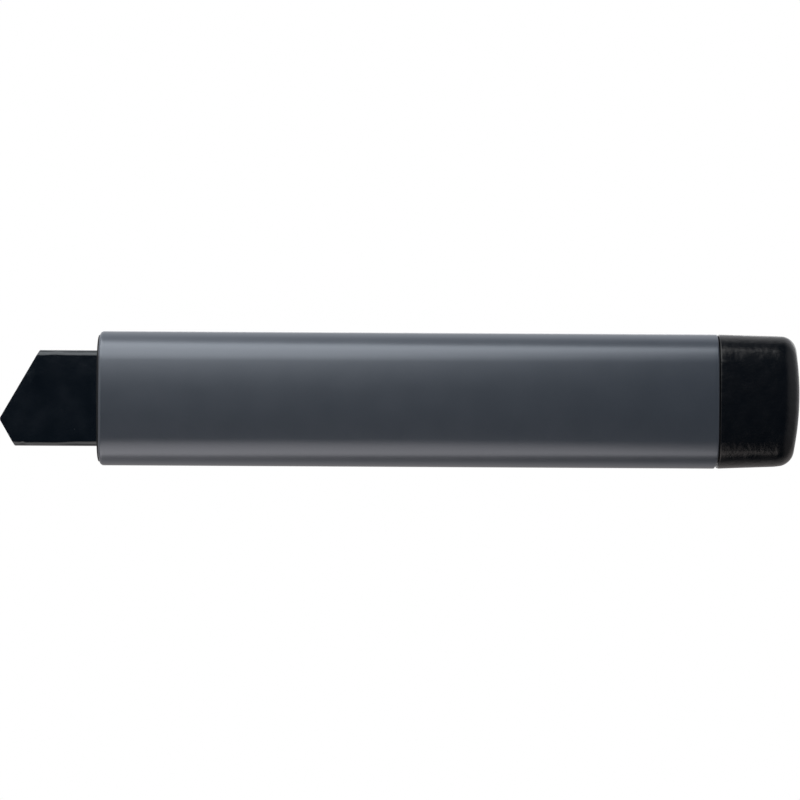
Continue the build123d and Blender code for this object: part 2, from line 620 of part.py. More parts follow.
with BuildPart() as cassette_tray:
    with BuildSketch(cross_plane(TRAY_FRONT)):
        with Locations(((TRAY_BOTTOM + TRAY_TOP) / 2, 0)):
            RectangleRounded(TRAY_TOP - TRAY_BOTTOM, TRAY_WIDTH, TRAY_ROUNDING)
    extrude(amount=TRAY_REAR - TRAY_FRONT)
    # Room for the blades, then the ledge of the cover
    with BuildSketch(face_plane(TRAY_TOP, TRAY_FRONT + TRAY_WALL)):
        with Locations((SPARE_ROOM / 2, 0)):
            Rectangle(SPARE_ROOM, BLADE_WIDTH + 0.5)
    extrude(amount=TRAY_TOP - TRAY_BOTTOM - TRAY_FLOOR, mode=Mode.SUBTRACT)
    with BuildSketch(face_plane(TRAY_TOP, TRAY_FRONT + TRAY_WALL - COVER_LEDGE)):
        with Locations((SPARE_ROOM / 2 + COVER_LEDGE, 0)):
            Rectangle(SPARE_ROOM + 2 * COVER_LEDGE, COVER_WIDTH)
    extrude(amount=COVER_THICKNESS, mode=Mode.SUBTRACT)
    # Tail that the cross pin holds in the cap plug
    with BuildSketch(cross_plane(TRAY_REAR - TRAY_WALL / 2)):
        with Locations(((TRAY_BOTTOM + TRAY_TOP) / 2, 0)):
            Rectangle(TRAY_TOP - TRAY_BOTTOM - 0.8, TAIL_WIDTH)
    extrude(amount=TAIL_END - TRAY_REAR + TRAY_WALL / 2)
    with Locations(up_plane(CASSETTE_PIN_X, 0, 0)):
        Cylinder(CASSETTE_PIN_RADIUS + FIT, 2 * THICKNESS, mode=Mode.SUBTRACT)
    # Finger window in the floor
    with BuildSketch(face_plane(0, TRAY_FRONT + FINGER_WINDOW_X)):
        SlotOverall(*FINGER_WINDOW)
    extrude(amount=THICKNESS, mode=Mode.SUBTRACT)
cassette_tray.part.label = "cassette_tray"

with BuildPart() as cassette_cover:
    with BuildSketch(face_plane(TRAY_TOP, TRAY_FRONT + TRAY_WALL - COVER_LEDGE)):
        with Locations((SPARE_ROOM / 2 + COVER_LEDGE, 0)):
            Rectangle(SPARE_ROOM + 2 * COVER_LEDGE - 0.2, COVER_WIDTH - 0.1)
            SlotOverall(*COVER_WINDOW, mode=Mode.SUBTRACT)
    extrude(amount=COVER_THICKNESS - 0.02)
cassette_cover.part.label = "cassette_cover"

with BuildPart() as cassette_spring:
    with BuildSketch(Plane(origin=(SPRING_FRONT, 0, WIDTH / 2 - LEAF_WIDTH / 2))):
        with BuildLine():
            for count in range(SPRING_WAVES):
                left = count * SPRING_WAVE_LENGTH
                middle, right = left + SPRING_WAVE_LENGTH / 2, left + SPRING_WAVE_LENGTH
                ThreePointArc((left, SPRING_LOW), (middle, SPRING_HIGH), (right, SPRING_LOW))
                ThreePointArc(
                    (left, SPRING_LOW - LEAF), (middle, SPRING_HIGH - LEAF), (right, SPRING_LOW - LEAF)
                )
            Line((0, SPRING_LOW), (0, SPRING_LOW - LEAF))
            Line((right, SPRING_LOW), (right, SPRING_LOW - LEAF))
        make_face()
    extrude(amount=LEAF_WIDTH)
cassette_spring.part.label = "cassette_spring"

with BuildPart() as cassette_pin:
    with Locations(up_plane(CASSETTE_PIN_X, -5.3, 0)):
        Cylinder(CASSETTE_PIN_RADIUS, CASSETTE_PIN_LENGTH, align=ON_PLANE)
    chamfer(cassette_pin.edges().filter_by(GeomType.CIRCLE), length=0.15)
cassette_pin.part.label = "cassette_pin"

with BuildPart() as spare_blade_1:
    add(snap_blade(SPARE_TIP, TRAY_BOTTOM + TRAY_FLOOR + 0.1 + BLADE_THICKNESS / 2))
spare_blade_1.part.label = "spare_blade_1"

with BuildPart() as spare_blade_2:
    add(snap_blade(SPARE_TIP, TRAY_BOTTOM + TRAY_FLOOR + 0.15 + 1.5 * BLADE_THICKNESS))
spare_blade_2.part.label = "spare_blade_2"

# ---- Files --------------------------------------------------------------------------

os.makedirs("parts", exist_ok=True)
for piece in (
    housing, blade_channel, front_collar, slot_liner, upper_rail, lower_rail, rear_block,
    channel_rivets, rear_screws, carriage, blade_pin, blade, button_springs, thumb_button,
    grip_pad, lock_pawl, pawl_screw, end_cap, cap_plug, cassette_tray, cassette_cover,
    cassette_spring, cassette_pin, spare_blade_1, spare_blade_2,
):
    export_step(piece.part, f"parts/{piece.part.label}.step")
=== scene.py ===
import logging
from dataclasses import dataclass
from enum import Enum
from math import cos, radians, sin, sqrt, tan
from typing import Callable, ClassVar

import bmesh
import bpy
from mathutils import Matrix, Vector


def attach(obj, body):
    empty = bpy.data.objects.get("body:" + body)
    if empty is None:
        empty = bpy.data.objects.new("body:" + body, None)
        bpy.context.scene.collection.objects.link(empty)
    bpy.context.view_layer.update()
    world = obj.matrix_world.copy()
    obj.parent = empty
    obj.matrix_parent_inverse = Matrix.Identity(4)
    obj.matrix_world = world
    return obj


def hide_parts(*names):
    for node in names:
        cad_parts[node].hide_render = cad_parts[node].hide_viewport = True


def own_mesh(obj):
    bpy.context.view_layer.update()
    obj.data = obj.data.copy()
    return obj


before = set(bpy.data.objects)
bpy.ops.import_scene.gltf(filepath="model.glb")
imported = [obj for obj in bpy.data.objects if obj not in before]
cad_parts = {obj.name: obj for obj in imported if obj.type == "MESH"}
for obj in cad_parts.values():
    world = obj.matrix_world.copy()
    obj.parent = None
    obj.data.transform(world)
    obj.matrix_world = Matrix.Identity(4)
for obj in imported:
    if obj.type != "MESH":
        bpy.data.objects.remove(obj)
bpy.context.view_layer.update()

MM = 0.001
WELD = 0.002 * MM
LOG = logging.getLogger("utility_knife")

Color = tuple[float, float, float]
Test = Callable[[Vector, Vector], bool]


class Body(Enum):
    """The CAD bodies that pieces ride on."""

    KNIFE = "knife_body"
    SLIDER = "slider"
    BUTTON = "button"
    CAP = "rear_cap"


class Part(Enum):
    """Kinds of mesh element that can be picked."""

    POINT = "VERT"
    EDGE = "EDGE"
    FACE = "FACE"


class Joinery(Enum):
    """Ways of combining a piece with a tool body."""

    CUT = "DIFFERENCE"
    ADD = "UNION"


# ---- Bench: steps of modelling by hand -------------------------------------------------


def clear_bench() -> None:
    """Leaves edit mode and deselects everything."""
    if bpy.context.object is not None and bpy.context.object.mode != "OBJECT":
        bpy.ops.object.mode_set(mode="OBJECT")
    bpy.ops.object.select_all(action="DESELECT")


def take(piece: bpy.types.Object, edit: bool = True) -> None:
    """Makes a piece the only selected and active object.

    Args:
        piece: The object to work on.
        edit: Whether to enter edit mode on it.
    """
    clear_bench()
    piece.select_set(True)
    bpy.context.view_layer.objects.active = piece
    if edit:
        bpy.ops.object.mode_set(mode="EDIT")


def pick(piece: bpy.types.Object, part: Part, test: Test) -> None:
    """Selects the elements of a piece in edit mode by their place and normal.

    Args:
        piece: The object in edit mode.
        part: The kind of element.
        test: Called with place and normal; an edge needs both of its ends to pass.
    """
    bpy.ops.mesh.select_mode(type=part.value)
    bpy.ops.mesh.select_all(action="DESELECT")
    shape = bmesh.from_edit_mesh(piece.data)
    if part is Part.FACE:
        chosen = [face for face in shape.faces if test(face.calc_center_median(), face.normal)]
    elif part is Part.EDGE:
        chosen = [edge for edge in shape.edges if all(test(end.co, end.normal) for end in edge.verts)]
    else:
        chosen = [point for point in shape.verts if test(point.co, point.normal)]
    for element in chosen:
        element.select_set(True)
    shape.select_flush_mode()
    bmesh.update_edit_mesh(piece.data)


def slide(x: float = 0.0, y: float = 0.0, z: float = 0.0) -> None:
    """Moves the selected elements."""
    bpy.ops.transform.translate(value=(x, y, z))


def pull(x: float = 0.0, y: float = 0.0, z: float = 0.0) -> None:
    """Extrudes the selected elements and moves the new ones."""
    bpy.ops.mesh.extrude_region_move(TRANSFORM_OT_translate={"value": (x, y, z)})


def round_edges(radius: float, steps: int = 4) -> None:
    """Bevels the selected edges with a round profile."""
    bpy.ops.mesh.bevel(offset=radius, segments=steps, profile=0.5, affect="EDGES", clamp_overlap=False)


def saw(piece: bpy.types.Object, point: Vector, normal: Vector, trim: bool = False) -> None:
    """Cuts a piece with a plane.

    Args:
        piece: The object in edit mode; not used, as the cut works on the mesh that is in edit mode.
        point: A point of the plane.
        normal: The plane's normal.
        trim: Whether what lies on the normal's side is cut away and the cut closed.
    """
    bpy.ops.mesh.select_all(action="SELECT")
    bpy.ops.mesh.bisect(plane_co=point, plane_no=normal, use_fill=trim, clear_outer=trim)


def join_tool(piece: bpy.types.Object, tool: bpy.types.Object, joinery: Joinery) -> None:
    """Combines a piece with a tool body, then throws the tool away.

    Args:
        piece: The object that is changed.
        tool: The closed mesh that cuts it or is added to it.
        joinery: How they combine.
    """
    take(tool)
    bpy.ops.mesh.select_all(action="SELECT")
    bpy.ops.mesh.normals_make_consistent(inside=False)
    take(piece)
    bpy.ops.mesh.select_all(action="SELECT")
    bpy.ops.mesh.normals_make_consistent(inside=False)
    take(piece, edit=False)
    step = piece.modifiers.new("join", "BOOLEAN")
    step.object = tool
    step.operation = joinery.value
    step.solver = "EXACT"
    bpy.ops.object.modifier_apply(modifier=step.name)
    take(tool, edit=False)
    bpy.ops.object.delete()
    take(piece, edit=False)


def soften(piece: bpy.types.Object, width: float, steps: int = 2, angle: float = 40.0) -> None:
    """Breaks all the sharp edges of a piece with an applied bevel.

    Args:
        piece: The object to change.
        width: Width of the broken edge.
        steps: Number of facets across it.
        angle: Least angle in degrees between the faces at an edge that is broken.
    """
    take(piece, edit=False)
    step = piece.modifiers.new("soften", "BEVEL")
    step.width, step.segments = width, steps
    step.limit_method, step.angle_limit = "ANGLE", radians(angle)
    step.use_clamp_overlap = True
    bpy.ops.object.modifier_apply(modifier=step.name)


def repeat(piece: bpy.types.Object, step: float, count: int) -> None:
    """Repeats a piece in a row along the knife.

    Args:
        piece: The object to repeat.
        step: Distance from one to the next.
        count: How many there are in the end.
    """
    take(piece, edit=False)
    row = piece.modifiers.new("row", "ARRAY")
    row.use_relative_offset, row.use_constant_offset = False, True
    row.constant_offset_displace = (step, 0, 0)
    row.count = count
    bpy.ops.object.modifier_apply(modifier=row.name)


def hand_over(
    piece: bpy.types.Object, body: Body, finish: "Finish", *nodes: str, sharp: float = 38.0
) -> None:
    """Cleans a finished piece, shades it smooth, dresses it and puts it on its body.

    Args:
        piece: The modelled object.
        body: The CAD body that it rides on.
        finish: Its finish.
        *nodes: The CAD nodes that it stands for.
        sharp: Angle in degrees from which an edge stays sharp.
    """
    take(piece)
    bpy.ops.mesh.select_all(action="SELECT")
    bpy.ops.mesh.remove_doubles(threshold=WELD)
    bpy.ops.mesh.normals_make_consistent(inside=False)
    take(piece, edit=False)
    bpy.ops.object.transform_apply(location=True, rotation=True, scale=True)
    bpy.ops.object.shade_smooth_by_angle(angle=radians(sharp))
    step = piece.modifiers.new("even_shading", "WEIGHTED_NORMAL")
    step.keep_sharp = True
    bpy.ops.object.modifier_apply(modifier=step.name)
    piece.data.materials.clear()
    piece.data.materials.append(finish.material())
    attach(piece, body.value)
    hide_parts(*nodes)
    LOG.info("%s: %d faces, %s, on %s", piece.name, len(piece.data.polygons), finish.name, body.value)


class Pen:
    """Draws a closed outline in edit mode, from point to point."""

    DOT: ClassVar[float] = 0.05 * MM

    def __init__(self, name: str, start: Vector) -> None:
        """Puts the pen down.

        Args:
            name: Name of the new object.
            start: Where the outline begins.
        """
        clear_bench()
        bpy.ops.mesh.primitive_plane_add(size=self.DOT)
        self.piece = bpy.context.object
        self.piece.name = self.piece.data.name = name
        bpy.ops.object.mode_set(mode="EDIT")
        bpy.ops.mesh.select_mode(type="VERT")
        bpy.ops.mesh.select_all(action="SELECT")
        bpy.ops.mesh.delete(type="VERT")
        bpy.ops.mesh.primitive_plane_add(size=self.DOT, location=start)
        bpy.ops.mesh.merge(type="CENTER")

    def line(self, step: Vector, pieces: int = 1) -> "Pen":
        """Draws a straight stretch.

        Args:
            step: From its beginning to its end.
            pieces: Number of equal edges that it has.

        Returns:
            The pen.
        """
        for _ in range(pieces):
            pull(*(step / pieces))
        return self

    def arc(self, centre: Vector, degrees: float, steps: int, axis: Vector = Vector((1, 0, 0))) -> "Pen":
        """Draws an arc, anticlockwise as seen from where the axis points to.

        Args:
            centre: Its centre.
            degrees: Its angle.
            steps: Number of edges.
            axis: The axis that it turns about.

        Returns:
            The pen.
        """
        bpy.ops.mesh.spin(steps=steps, angle=-radians(degrees), center=centre, axis=axis)
        return self

    def close(self) -> bpy.types.Object:
        """Closes the outline and fills it.

        Returns:
            The object, in edit mode with its face selected.
        """
        bpy.ops.mesh.select_all(action="SELECT")
        bpy.ops.mesh.remove_doubles(threshold=WELD)
        bpy.ops.mesh.select_mode(type="EDGE")
        bpy.ops.mesh.select_all(action="SELECT")
        bpy.ops.mesh.edge_face_add()
        bpy.ops.mesh.select_mode(type="FACE")
        bpy.ops.mesh.select_all(action="SELECT")
        return self.piece


def rounded_plate(
    name: str, centre: Vector, length: float, width: float, corner: float, steps: int = 6
) -> bpy.types.Object:
    """A rounded rectangle that lies along the knife, facing across it.

    Args:
        name: Name of the new object.
        centre: Its middle.
        length: Size along X.
        width: Size along Z.
        corner: Radius of its corners.
        steps: Edges in each corner.

    Returns:
        The object, in edit mode with its face selected.
    """
    clear_bench()
    bpy.ops.mesh.primitive_plane_add(size=1.0)
    plate = bpy.context.object
    plate.name = plate.data.name = name
    bpy.ops.object.mode_set(mode="EDIT")
    bpy.ops.mesh.select_all(action="SELECT")
    bpy.ops.transform.resize(value=(length, width, 1.0))
    bpy.ops.transform.rotate(value=radians(90), orient_axis="X", center_override=(0, 0, 0))
    bpy.ops.transform.translate(value=centre)
    bpy.ops.mesh.bevel(offset=corner, segments=steps, affect="VERTICES", clamp_overlap=False)
    bpy.ops.mesh.select_mode(type="FACE")
    bpy.ops.mesh.select_all(action="SELECT")
    return plate


def rounded_bar(name: str, centre: Vector, size: Vector, corner: float, steps: int = 6) -> bpy.types.Object:
    """A prism with a rounded rectangle for its section, standing across the knife.

    Args:
        name: Name of the new object.
        centre: Its middle.
        size: Its size along X, Y and Z.
        corner: Radius of its four edges along Y.
        steps: Facets in each of these.

    Returns:
        The object, in edit mode.
    """
    low = centre - Vector((0, size.y / 2, 0))
    bar = rounded_plate(name, low, size.x, size.z, corner, steps)
    pull(y=size.y)
    return bar


# ---- Finishes --------------------------------------------------------------------------


class Graph:
    """Adds nodes to a node tree and wires them."""

    def __init__(self, tree: bpy.types.NodeTree) -> None:
        """Keeps the tree that nodes are added to."""
        self.tree = tree

    def node(self, kind: str, inputs: dict | None = None, **settings: object) -> bpy.types.Node:
        """Adds a node.

        Args:
            kind: Its type without the leading ShaderNode.
            inputs: Values or sockets for its inputs, by name or number.
            **settings: Its properties.

        Returns:
            The node.
        """
        node = self.tree.nodes.new(f"ShaderNode{kind}")
        for key, value in settings.items():
            setattr(node, key, value)
        for key, value in (inputs or {}).items():
            if isinstance(value, bpy.types.NodeSocket):
                self.tree.links.new(value, node.inputs[key])
            else:
                node.inputs[key].default_value = value
        return node

    def math(self, operation: str, *values: object, clamp: bool = False) -> bpy.types.NodeSocket:
        """Adds a math node and gives its result."""
        node = self.node("Math", dict(enumerate(values)), operation=operation, use_clamp=clamp)
        return node.outputs[0]

    def span(
        self, value: object, low: object, high: object, to_low: object = 0.0, to_high: object = 1.0
    ) -> bpy.types.NodeSocket:
        """Maps a range of a value to another range and holds it there.

        Args:
            value: The value to map.
            low: The value that becomes to_low.
            high: The value that becomes to_high.
            to_low: One end of the result.
            to_high: The other end of it.

        Returns:
            The result.
        """
        ends = {"Value": value, "From Min": low, "From Max": high, "To Min": to_low, "To Max": to_high}
        return self.node("MapRange", ends).outputs["Result"]

    def blend(self, share: object, first: object, second: object) -> bpy.types.NodeSocket:
        """Mixes two colours.

        Args:
            share: Share of the second one.
            first: The first colour, or the socket that gives it.
            second: The second colour, or its socket.

        Returns:
            The mixed colour.
        """
        node = self.node("Mix", {"Factor": share}, data_type="RGBA")
        for index, value in ((6, first), (7, second)):
            if isinstance(value, bpy.types.NodeSocket):
                self.tree.links.new(value, node.inputs[index])
            else:
                node.inputs[index].default_value = (*value, 1.0)
        return node.outputs[2]


class Effect(Enum):
    """Surface effects that several finishes share, each one a node group."""

    GRAIN = "surface_grain"
    WEAR = "edge_wear"
    DUST = "dust_specks"
    SCUFF = "fine_scuffs"


class Effects:
    """Builds each shared node group once."""

    @classmethod
    def group(cls, effect: Effect) -> bpy.types.NodeTree:
        """Gives an effect's node group.

        Args:
            effect: The effect.

        Returns:
            Its node group, built on the first call.
        """
        found = bpy.data.node_groups.get(effect.value)
        if found is not None:
            return found
        tree = bpy.data.node_groups.new(effect.value, "ShaderNodeTree")
        makers = {
            Effect.GRAIN: cls.grain, Effect.WEAR: cls.wear, Effect.DUST: cls.dust, Effect.SCUFF: cls.scuff
        }
        makers[effect](tree)
        return tree

    @staticmethod
    def sockets(tree: bpy.types.NodeTree, inputs: dict[str, object], outputs: tuple[str, ...]) -> tuple:
        """Gives a group its named sockets.

        Args:
            tree: The group.
            inputs: Names and default values; a tuple makes a vector.
            outputs: Names of the values put out.

        Returns:
            The group's input and output nodes.
        """
        for name, value in inputs.items():
            kind = "NodeSocketVector" if isinstance(value, tuple) else "NodeSocketFloat"
            tree.interface.new_socket(name, in_out="INPUT", socket_type=kind).default_value = value
        for name in outputs:
            tree.interface.new_socket(name, in_out="OUTPUT", socket_type="NodeSocketFloat")
        return tree.nodes.new("NodeGroupInput"), tree.nodes.new("NodeGroupOutput")

    @classmethod
    def grain(cls, tree: bpy.types.NodeTree) -> None:
        """Fine grain and slow clouds, both stretched the same way.

        Args:
            tree: The empty group.
        """
        values = {"Vector": (0.0, 0.0, 0.0), "Stretch": (1.0, 1.0, 1.0), "Fine": 6000.0, "Slow": 90.0}
        given, put = cls.sockets(tree, values, ("Grain", "Cloud"))
        graph = Graph(tree)
        place = graph.node(
            "VectorMath", {0: given.outputs["Vector"], 1: given.outputs["Stretch"]}, operation="MULTIPLY"
        ).outputs[0]
        fine = graph.node(
            "TexNoise", {"Vector": place, "Scale": given.outputs["Fine"], "Detail": 3.0, "Roughness": 0.65}
        )
        slow = graph.node(
            "TexNoise", {"Vector": place, "Scale": given.outputs["Slow"], "Detail": 5.0, "Roughness": 0.55}
        )
        tree.links.new(graph.span(fine.outputs[0], 0.25, 0.75), put.inputs["Grain"])
        tree.links.new(graph.span(slow.outputs[0], 0.3, 0.7), put.inputs["Cloud"])

    @classmethod
    def wear(cls, tree: bpy.types.NodeTree) -> None:
        """Worn edges, broken up along their length.

        Args:
            tree: The empty group.
        """
        values = {"Vector": (0.0, 0.0, 0.0), "Radius": 0.0003, "Amount": 0.3, "Breakup": 700.0}
        given, put = cls.sockets(tree, values, ("Mask",))
        graph = Graph(tree)
        soft = graph.node("Bevel", {"Radius": given.outputs["Radius"]}, samples=4)
        flat = graph.node("NewGeometry")
        facing = graph.node(
            "VectorMath", {0: soft.outputs[0], 1: flat.outputs["Normal"]}, operation="DOT_PRODUCT"
        ).outputs["Value"]
        edge = graph.span(facing, 0.995, 0.90)
        patches = graph.node(
            "TexNoise",
            {"Vector": given.outputs["Vector"], "Scale": given.outputs["Breakup"], "Detail": 4.0},
        )
        broken = graph.span(patches.outputs[0], 0.42, 0.62)
        worn = graph.math("MULTIPLY", edge, broken)
        mask = graph.math("MULTIPLY", worn, given.outputs["Amount"], clamp=True)
        tree.links.new(mask, put.inputs["Mask"])

    @classmethod
    def dust(cls, tree: bpy.types.NodeTree) -> None:
        """Scattered specks of dust of uneven size.

        Args:
            tree: The empty group.
        """
        values = {"Vector": (0.0, 0.0, 0.0), "Scale": 500.0, "Amount": 0.5, "Share": 0.1}
        given, put = cls.sockets(tree, values, ("Mask",))
        graph = Graph(tree)
        wobble = graph.node("TexNoise", {"Vector": given.outputs["Vector"], "Scale": 2500.0})
        shifted = graph.node(
            "VectorMath",
            {0: wobble.outputs[1], 1: (0.0004, 0.0004, 0.0004), 2: given.outputs["Vector"]},
            operation="MULTIPLY_ADD",
        ).outputs[0]
        cells = graph.node("TexVoronoi", {"Vector": shifted, "Scale": given.outputs["Scale"]})
        luck = graph.node("SeparateColor", {0: cells.outputs["Color"]})
        chosen = graph.math("LESS_THAN", luck.outputs[0], given.outputs["Share"])
        size = graph.span(luck.outputs[1], 0.0, 1.0, 0.05, 0.22)
        speck = graph.span(cells.outputs["Distance"], size, graph.math("MULTIPLY", size, 0.4))
        specks = graph.math("MULTIPLY", chosen, speck)
        mask = graph.math("MULTIPLY", specks, given.outputs["Amount"], clamp=True)
        tree.links.new(mask, put.inputs["Mask"])

    @classmethod
    def scuff(cls, tree: bpy.types.NodeTree) -> None:
        """Short fine scratches that mostly run one way.

        Args:
            tree: The empty group.
        """
        values = {"Vector": (0.0, 0.0, 0.0), "Stretch": (0.12, 1.0, 1.0), "Scale": 1500.0, "Amount": 0.3}
        given, put = cls.sockets(tree, values, ("Mask",))
        graph = Graph(tree)
        bend = graph.node("TexNoise", {"Vector": given.outputs["Vector"], "Scale": 120.0})
        bent = graph.node(
            "VectorMath",
            {0: bend.outputs[1], 1: (0.002, 0.002, 0.002), 2: given.outputs["Vector"]},
            operation="MULTIPLY_ADD",
        ).outputs[0]
        place = graph.node(
            "VectorMath", {0: bent, 1: given.outputs["Stretch"]}, operation="MULTIPLY"
        ).outputs[0]
        lines = graph.node("TexNoise", {"Vector": place, "Scale": given.outputs["Scale"], "Detail": 2.0})
        line = graph.span(lines.outputs[0], 0.66, 0.74)
        where = graph.node("TexNoise", {"Vector": given.outputs["Vector"], "Scale": 160.0, "Detail": 2.0})
        patch = graph.span(where.outputs[0], 0.5, 0.68)
        scuffs = graph.math("MULTIPLY", line, patch)
        mask = graph.math("MULTIPLY", scuffs, given.outputs["Amount"], clamp=True)
        tree.links.new(mask, put.inputs["Mask"])


@dataclass(frozen=True)
class Finish:
    """One finish: how a surface is coloured, how rough it is and what wear it shows."""

    name: str
    slot: str
    dark: Color
    pale: Color
    metallic: float
    roughness: tuple[float, float]
    specular: float = 0.5
    stretch: tuple[float, float, float] = (1.0, 1.0, 1.0)
    fine: float = 5000.0
    slow: float = 90.0
    grain_share: float = 0.35
    relief: float = 0.006 * MM
    wave: float = 0.0
    worn: Color = (0.3, 0.3, 0.3)
    wear: float = 0.2
    wear_width: float = 0.25 * MM
    dust: float = 0.0
    dust_share: float = 0.08
    dust_scale: float = 500.0
    dust_color: Color = (0.22, 0.22, 0.23)
    scuff: float = 0.0
    coat: float = 0.0
    coat_roughness: float = 0.12

    def material(self) -> bpy.types.Material:
        """Gives the finish's material.

        Returns:
            The material, built on the first call.
        """
        found = bpy.data.materials.get(self.name)
        if found is not None:
            return found
        material = bpy.data.materials.new(self.name)
        material.use_nodes = True
        material.node_tree.nodes.clear()
        graph = Graph(material.node_tree)
        place = graph.node("TexCoord").outputs["Object"]
        grain = self.effect(graph, Effect.GRAIN, {
            "Vector": place, "Stretch": self.stretch, "Fine": self.fine, "Slow": self.slow})
        wear = self.effect(graph, Effect.WEAR, {
            "Vector": place, "Radius": self.wear_width, "Amount": self.wear})
        clouds = graph.math("MULTIPLY", grain.outputs["Cloud"], 1 - self.grain_share)
        mottle = graph.math("MULTIPLY_ADD", grain.outputs["Grain"], self.grain_share, clouds)
        color = graph.blend(mottle, self.dark, self.pale)
        color = graph.blend(wear.outputs[0], color, self.worn)
        rough = graph.span(grain.outputs["Cloud"], 0.0, 1.0, *self.roughness)
        if self.dust:
            dust = self.effect(graph, Effect.DUST, {
                "Vector": place, "Amount": self.dust, "Share": self.dust_share, "Scale": self.dust_scale})
            color = graph.blend(dust.outputs[0], color, self.dust_color)
            rough = graph.math("ADD", rough, graph.math("MULTIPLY", dust.outputs[0], 0.4), clamp=True)
        if self.scuff:
            scuff = self.effect(graph, Effect.SCUFF, {"Vector": place, "Amount": self.scuff})
            color = graph.blend(scuff.outputs[0], color, self.worn)
            rough = graph.math("MULTIPLY_ADD", scuff.outputs[0], 0.25, rough, clamp=True)
        normal = graph.node("Bump", {
            "Height": grain.outputs["Grain"], "Distance": self.relief, "Strength": 1.0}).outputs[0]
        if self.wave:
            normal = graph.node("Bump", {
                "Height": grain.outputs["Cloud"], "Distance": self.wave, "Strength": 1.0,
                "Normal": normal}).outputs[0]
        shader = graph.node("BsdfPrincipled", {
            "Base Color": color, "Metallic": self.metallic, "Roughness": rough, "Normal": normal,
            "Specular IOR Level": self.specular, "Coat Weight": self.coat,
            "Coat Roughness": self.coat_roughness})
        graph.node("OutputMaterial", {"Surface": shader.outputs[0]})
        return material

    @staticmethod
    def effect(graph: Graph, effect: Effect, inputs: dict) -> bpy.types.Node:
        """Places a shared effect in the material with its own values.

        Args:
            graph: The material's graph.
            effect: The effect.
            inputs: Values or sockets for its inputs.

        Returns:
            The group's node.
        """
        node = graph.node("Group", node_tree=Effects.group(effect))
        for key, value in inputs.items():
            if isinstance(value, bpy.types.NodeSocket):
                graph.tree.links.new(value, node.inputs[key])
            else:
                node.inputs[key].default_value = value
        return node


class Finishes:
    """The knife's finishes."""

    ALUMINIUM = Finish(
        "blasted_grey_aluminium", "grey_aluminium", (0.206, 0.226, 0.254), (0.219, 0.239, 0.269), 0.84,
        (0.300, 0.325), fine=2600.0, slow=150.0, relief=0.0009 * MM, worn=(0.34, 0.35, 0.37), wear=0.2,
        wear_width=0.22 * MM,
    )
    STEEL_BLACK = Finish(
        "coated_black_steel", "black_steel", (0.034, 0.042, 0.047), (0.068, 0.074, 0.080), 1.0,
        (0.15, 0.23), fine=3500.0, slow=200.0, relief=0.002 * MM, wave=0.04 * MM, worn=(0.22, 0.23, 0.24),
        wear=0.3, wear_width=0.15 * MM, dust=0.3, dust_share=0.08, dust_scale=700.0, scuff=0.10, coat=1.0,
    )
    CAP_BLACK = Finish(
        "moulded_gloss_black", "gloss_black_plastic", (0.0006, 0.0006, 0.0009), (0.0018, 0.0018, 0.0023),
        0.0, (0.20, 0.27), fine=2600.0, slow=480.0, relief=0.004 * MM, wave=0.045 * MM,
        worn=(0.03, 0.03, 0.034), wear=0.3, dust=0.3, dust_share=0.05, dust_scale=800.0, scuff=0.10,
        specular=0.7,
    )
    PLASTIC_BLACK = Finish(
        "moulded_matt_black", "black_plastic", (0.006, 0.006, 0.007), (0.012, 0.012, 0.013), 0.0,
        (0.42, 0.56), fine=3800.0, slow=300.0, relief=0.014 * MM, worn=(0.04, 0.04, 0.042), wear=0.25,
        dust=0.3, dust_share=0.03, specular=0.4,
    )
    NYLON = Finish(
        "dark_filled_nylon", "dark_nylon", (0.018, 0.019, 0.022), (0.035, 0.036, 0.040), 0.0,
        (0.48, 0.62), stretch=(0.25, 1.0, 1.0), fine=2600.0, slow=260.0, relief=0.018 * MM,
        worn=(0.10, 0.10, 0.105), wear=0.3, scuff=0.15,
    )
    RUBBER = Finish(
        "ribbed_black_rubber", "black_rubber", (0.010, 0.010, 0.011), (0.020, 0.020, 0.021), 0.0,
        (0.66, 0.82), fine=4200.0, slow=350.0, relief=0.02 * MM, worn=(0.05, 0.05, 0.052), wear=0.5,
        wear_width=0.3 * MM, dust=0.4, dust_share=0.1, dust_scale=900.0, specular=0.3,
    )
    BLADE = Finish(
        "ground_blade_steel", "blade_steel", (0.44, 0.45, 0.47), (0.52, 0.53, 0.55), 1.0,
        (0.24, 0.29), stretch=(1.0, 1.0, 0.03), fine=6000.0, slow=500.0, relief=0.0012 * MM,
        worn=(0.75, 0.76, 0.78), wear=0.5, wear_width=0.12 * MM, scuff=0.05,
    )
    STEEL_BRIGHT = Finish(
        "bright_turned_steel", "bright_steel", (0.42, 0.42, 0.43), (0.60, 0.60, 0.61), 1.0,
        (0.18, 0.32), stretch=(1.0, 0.06, 1.0), fine=7000.0, slow=900.0, relief=0.004 * MM,
        worn=(0.8, 0.8, 0.8), wear=0.4, wear_width=0.1 * MM, scuff=0.1,
    )


# ---- Sub-assemblies --------------------------------------------------------------------


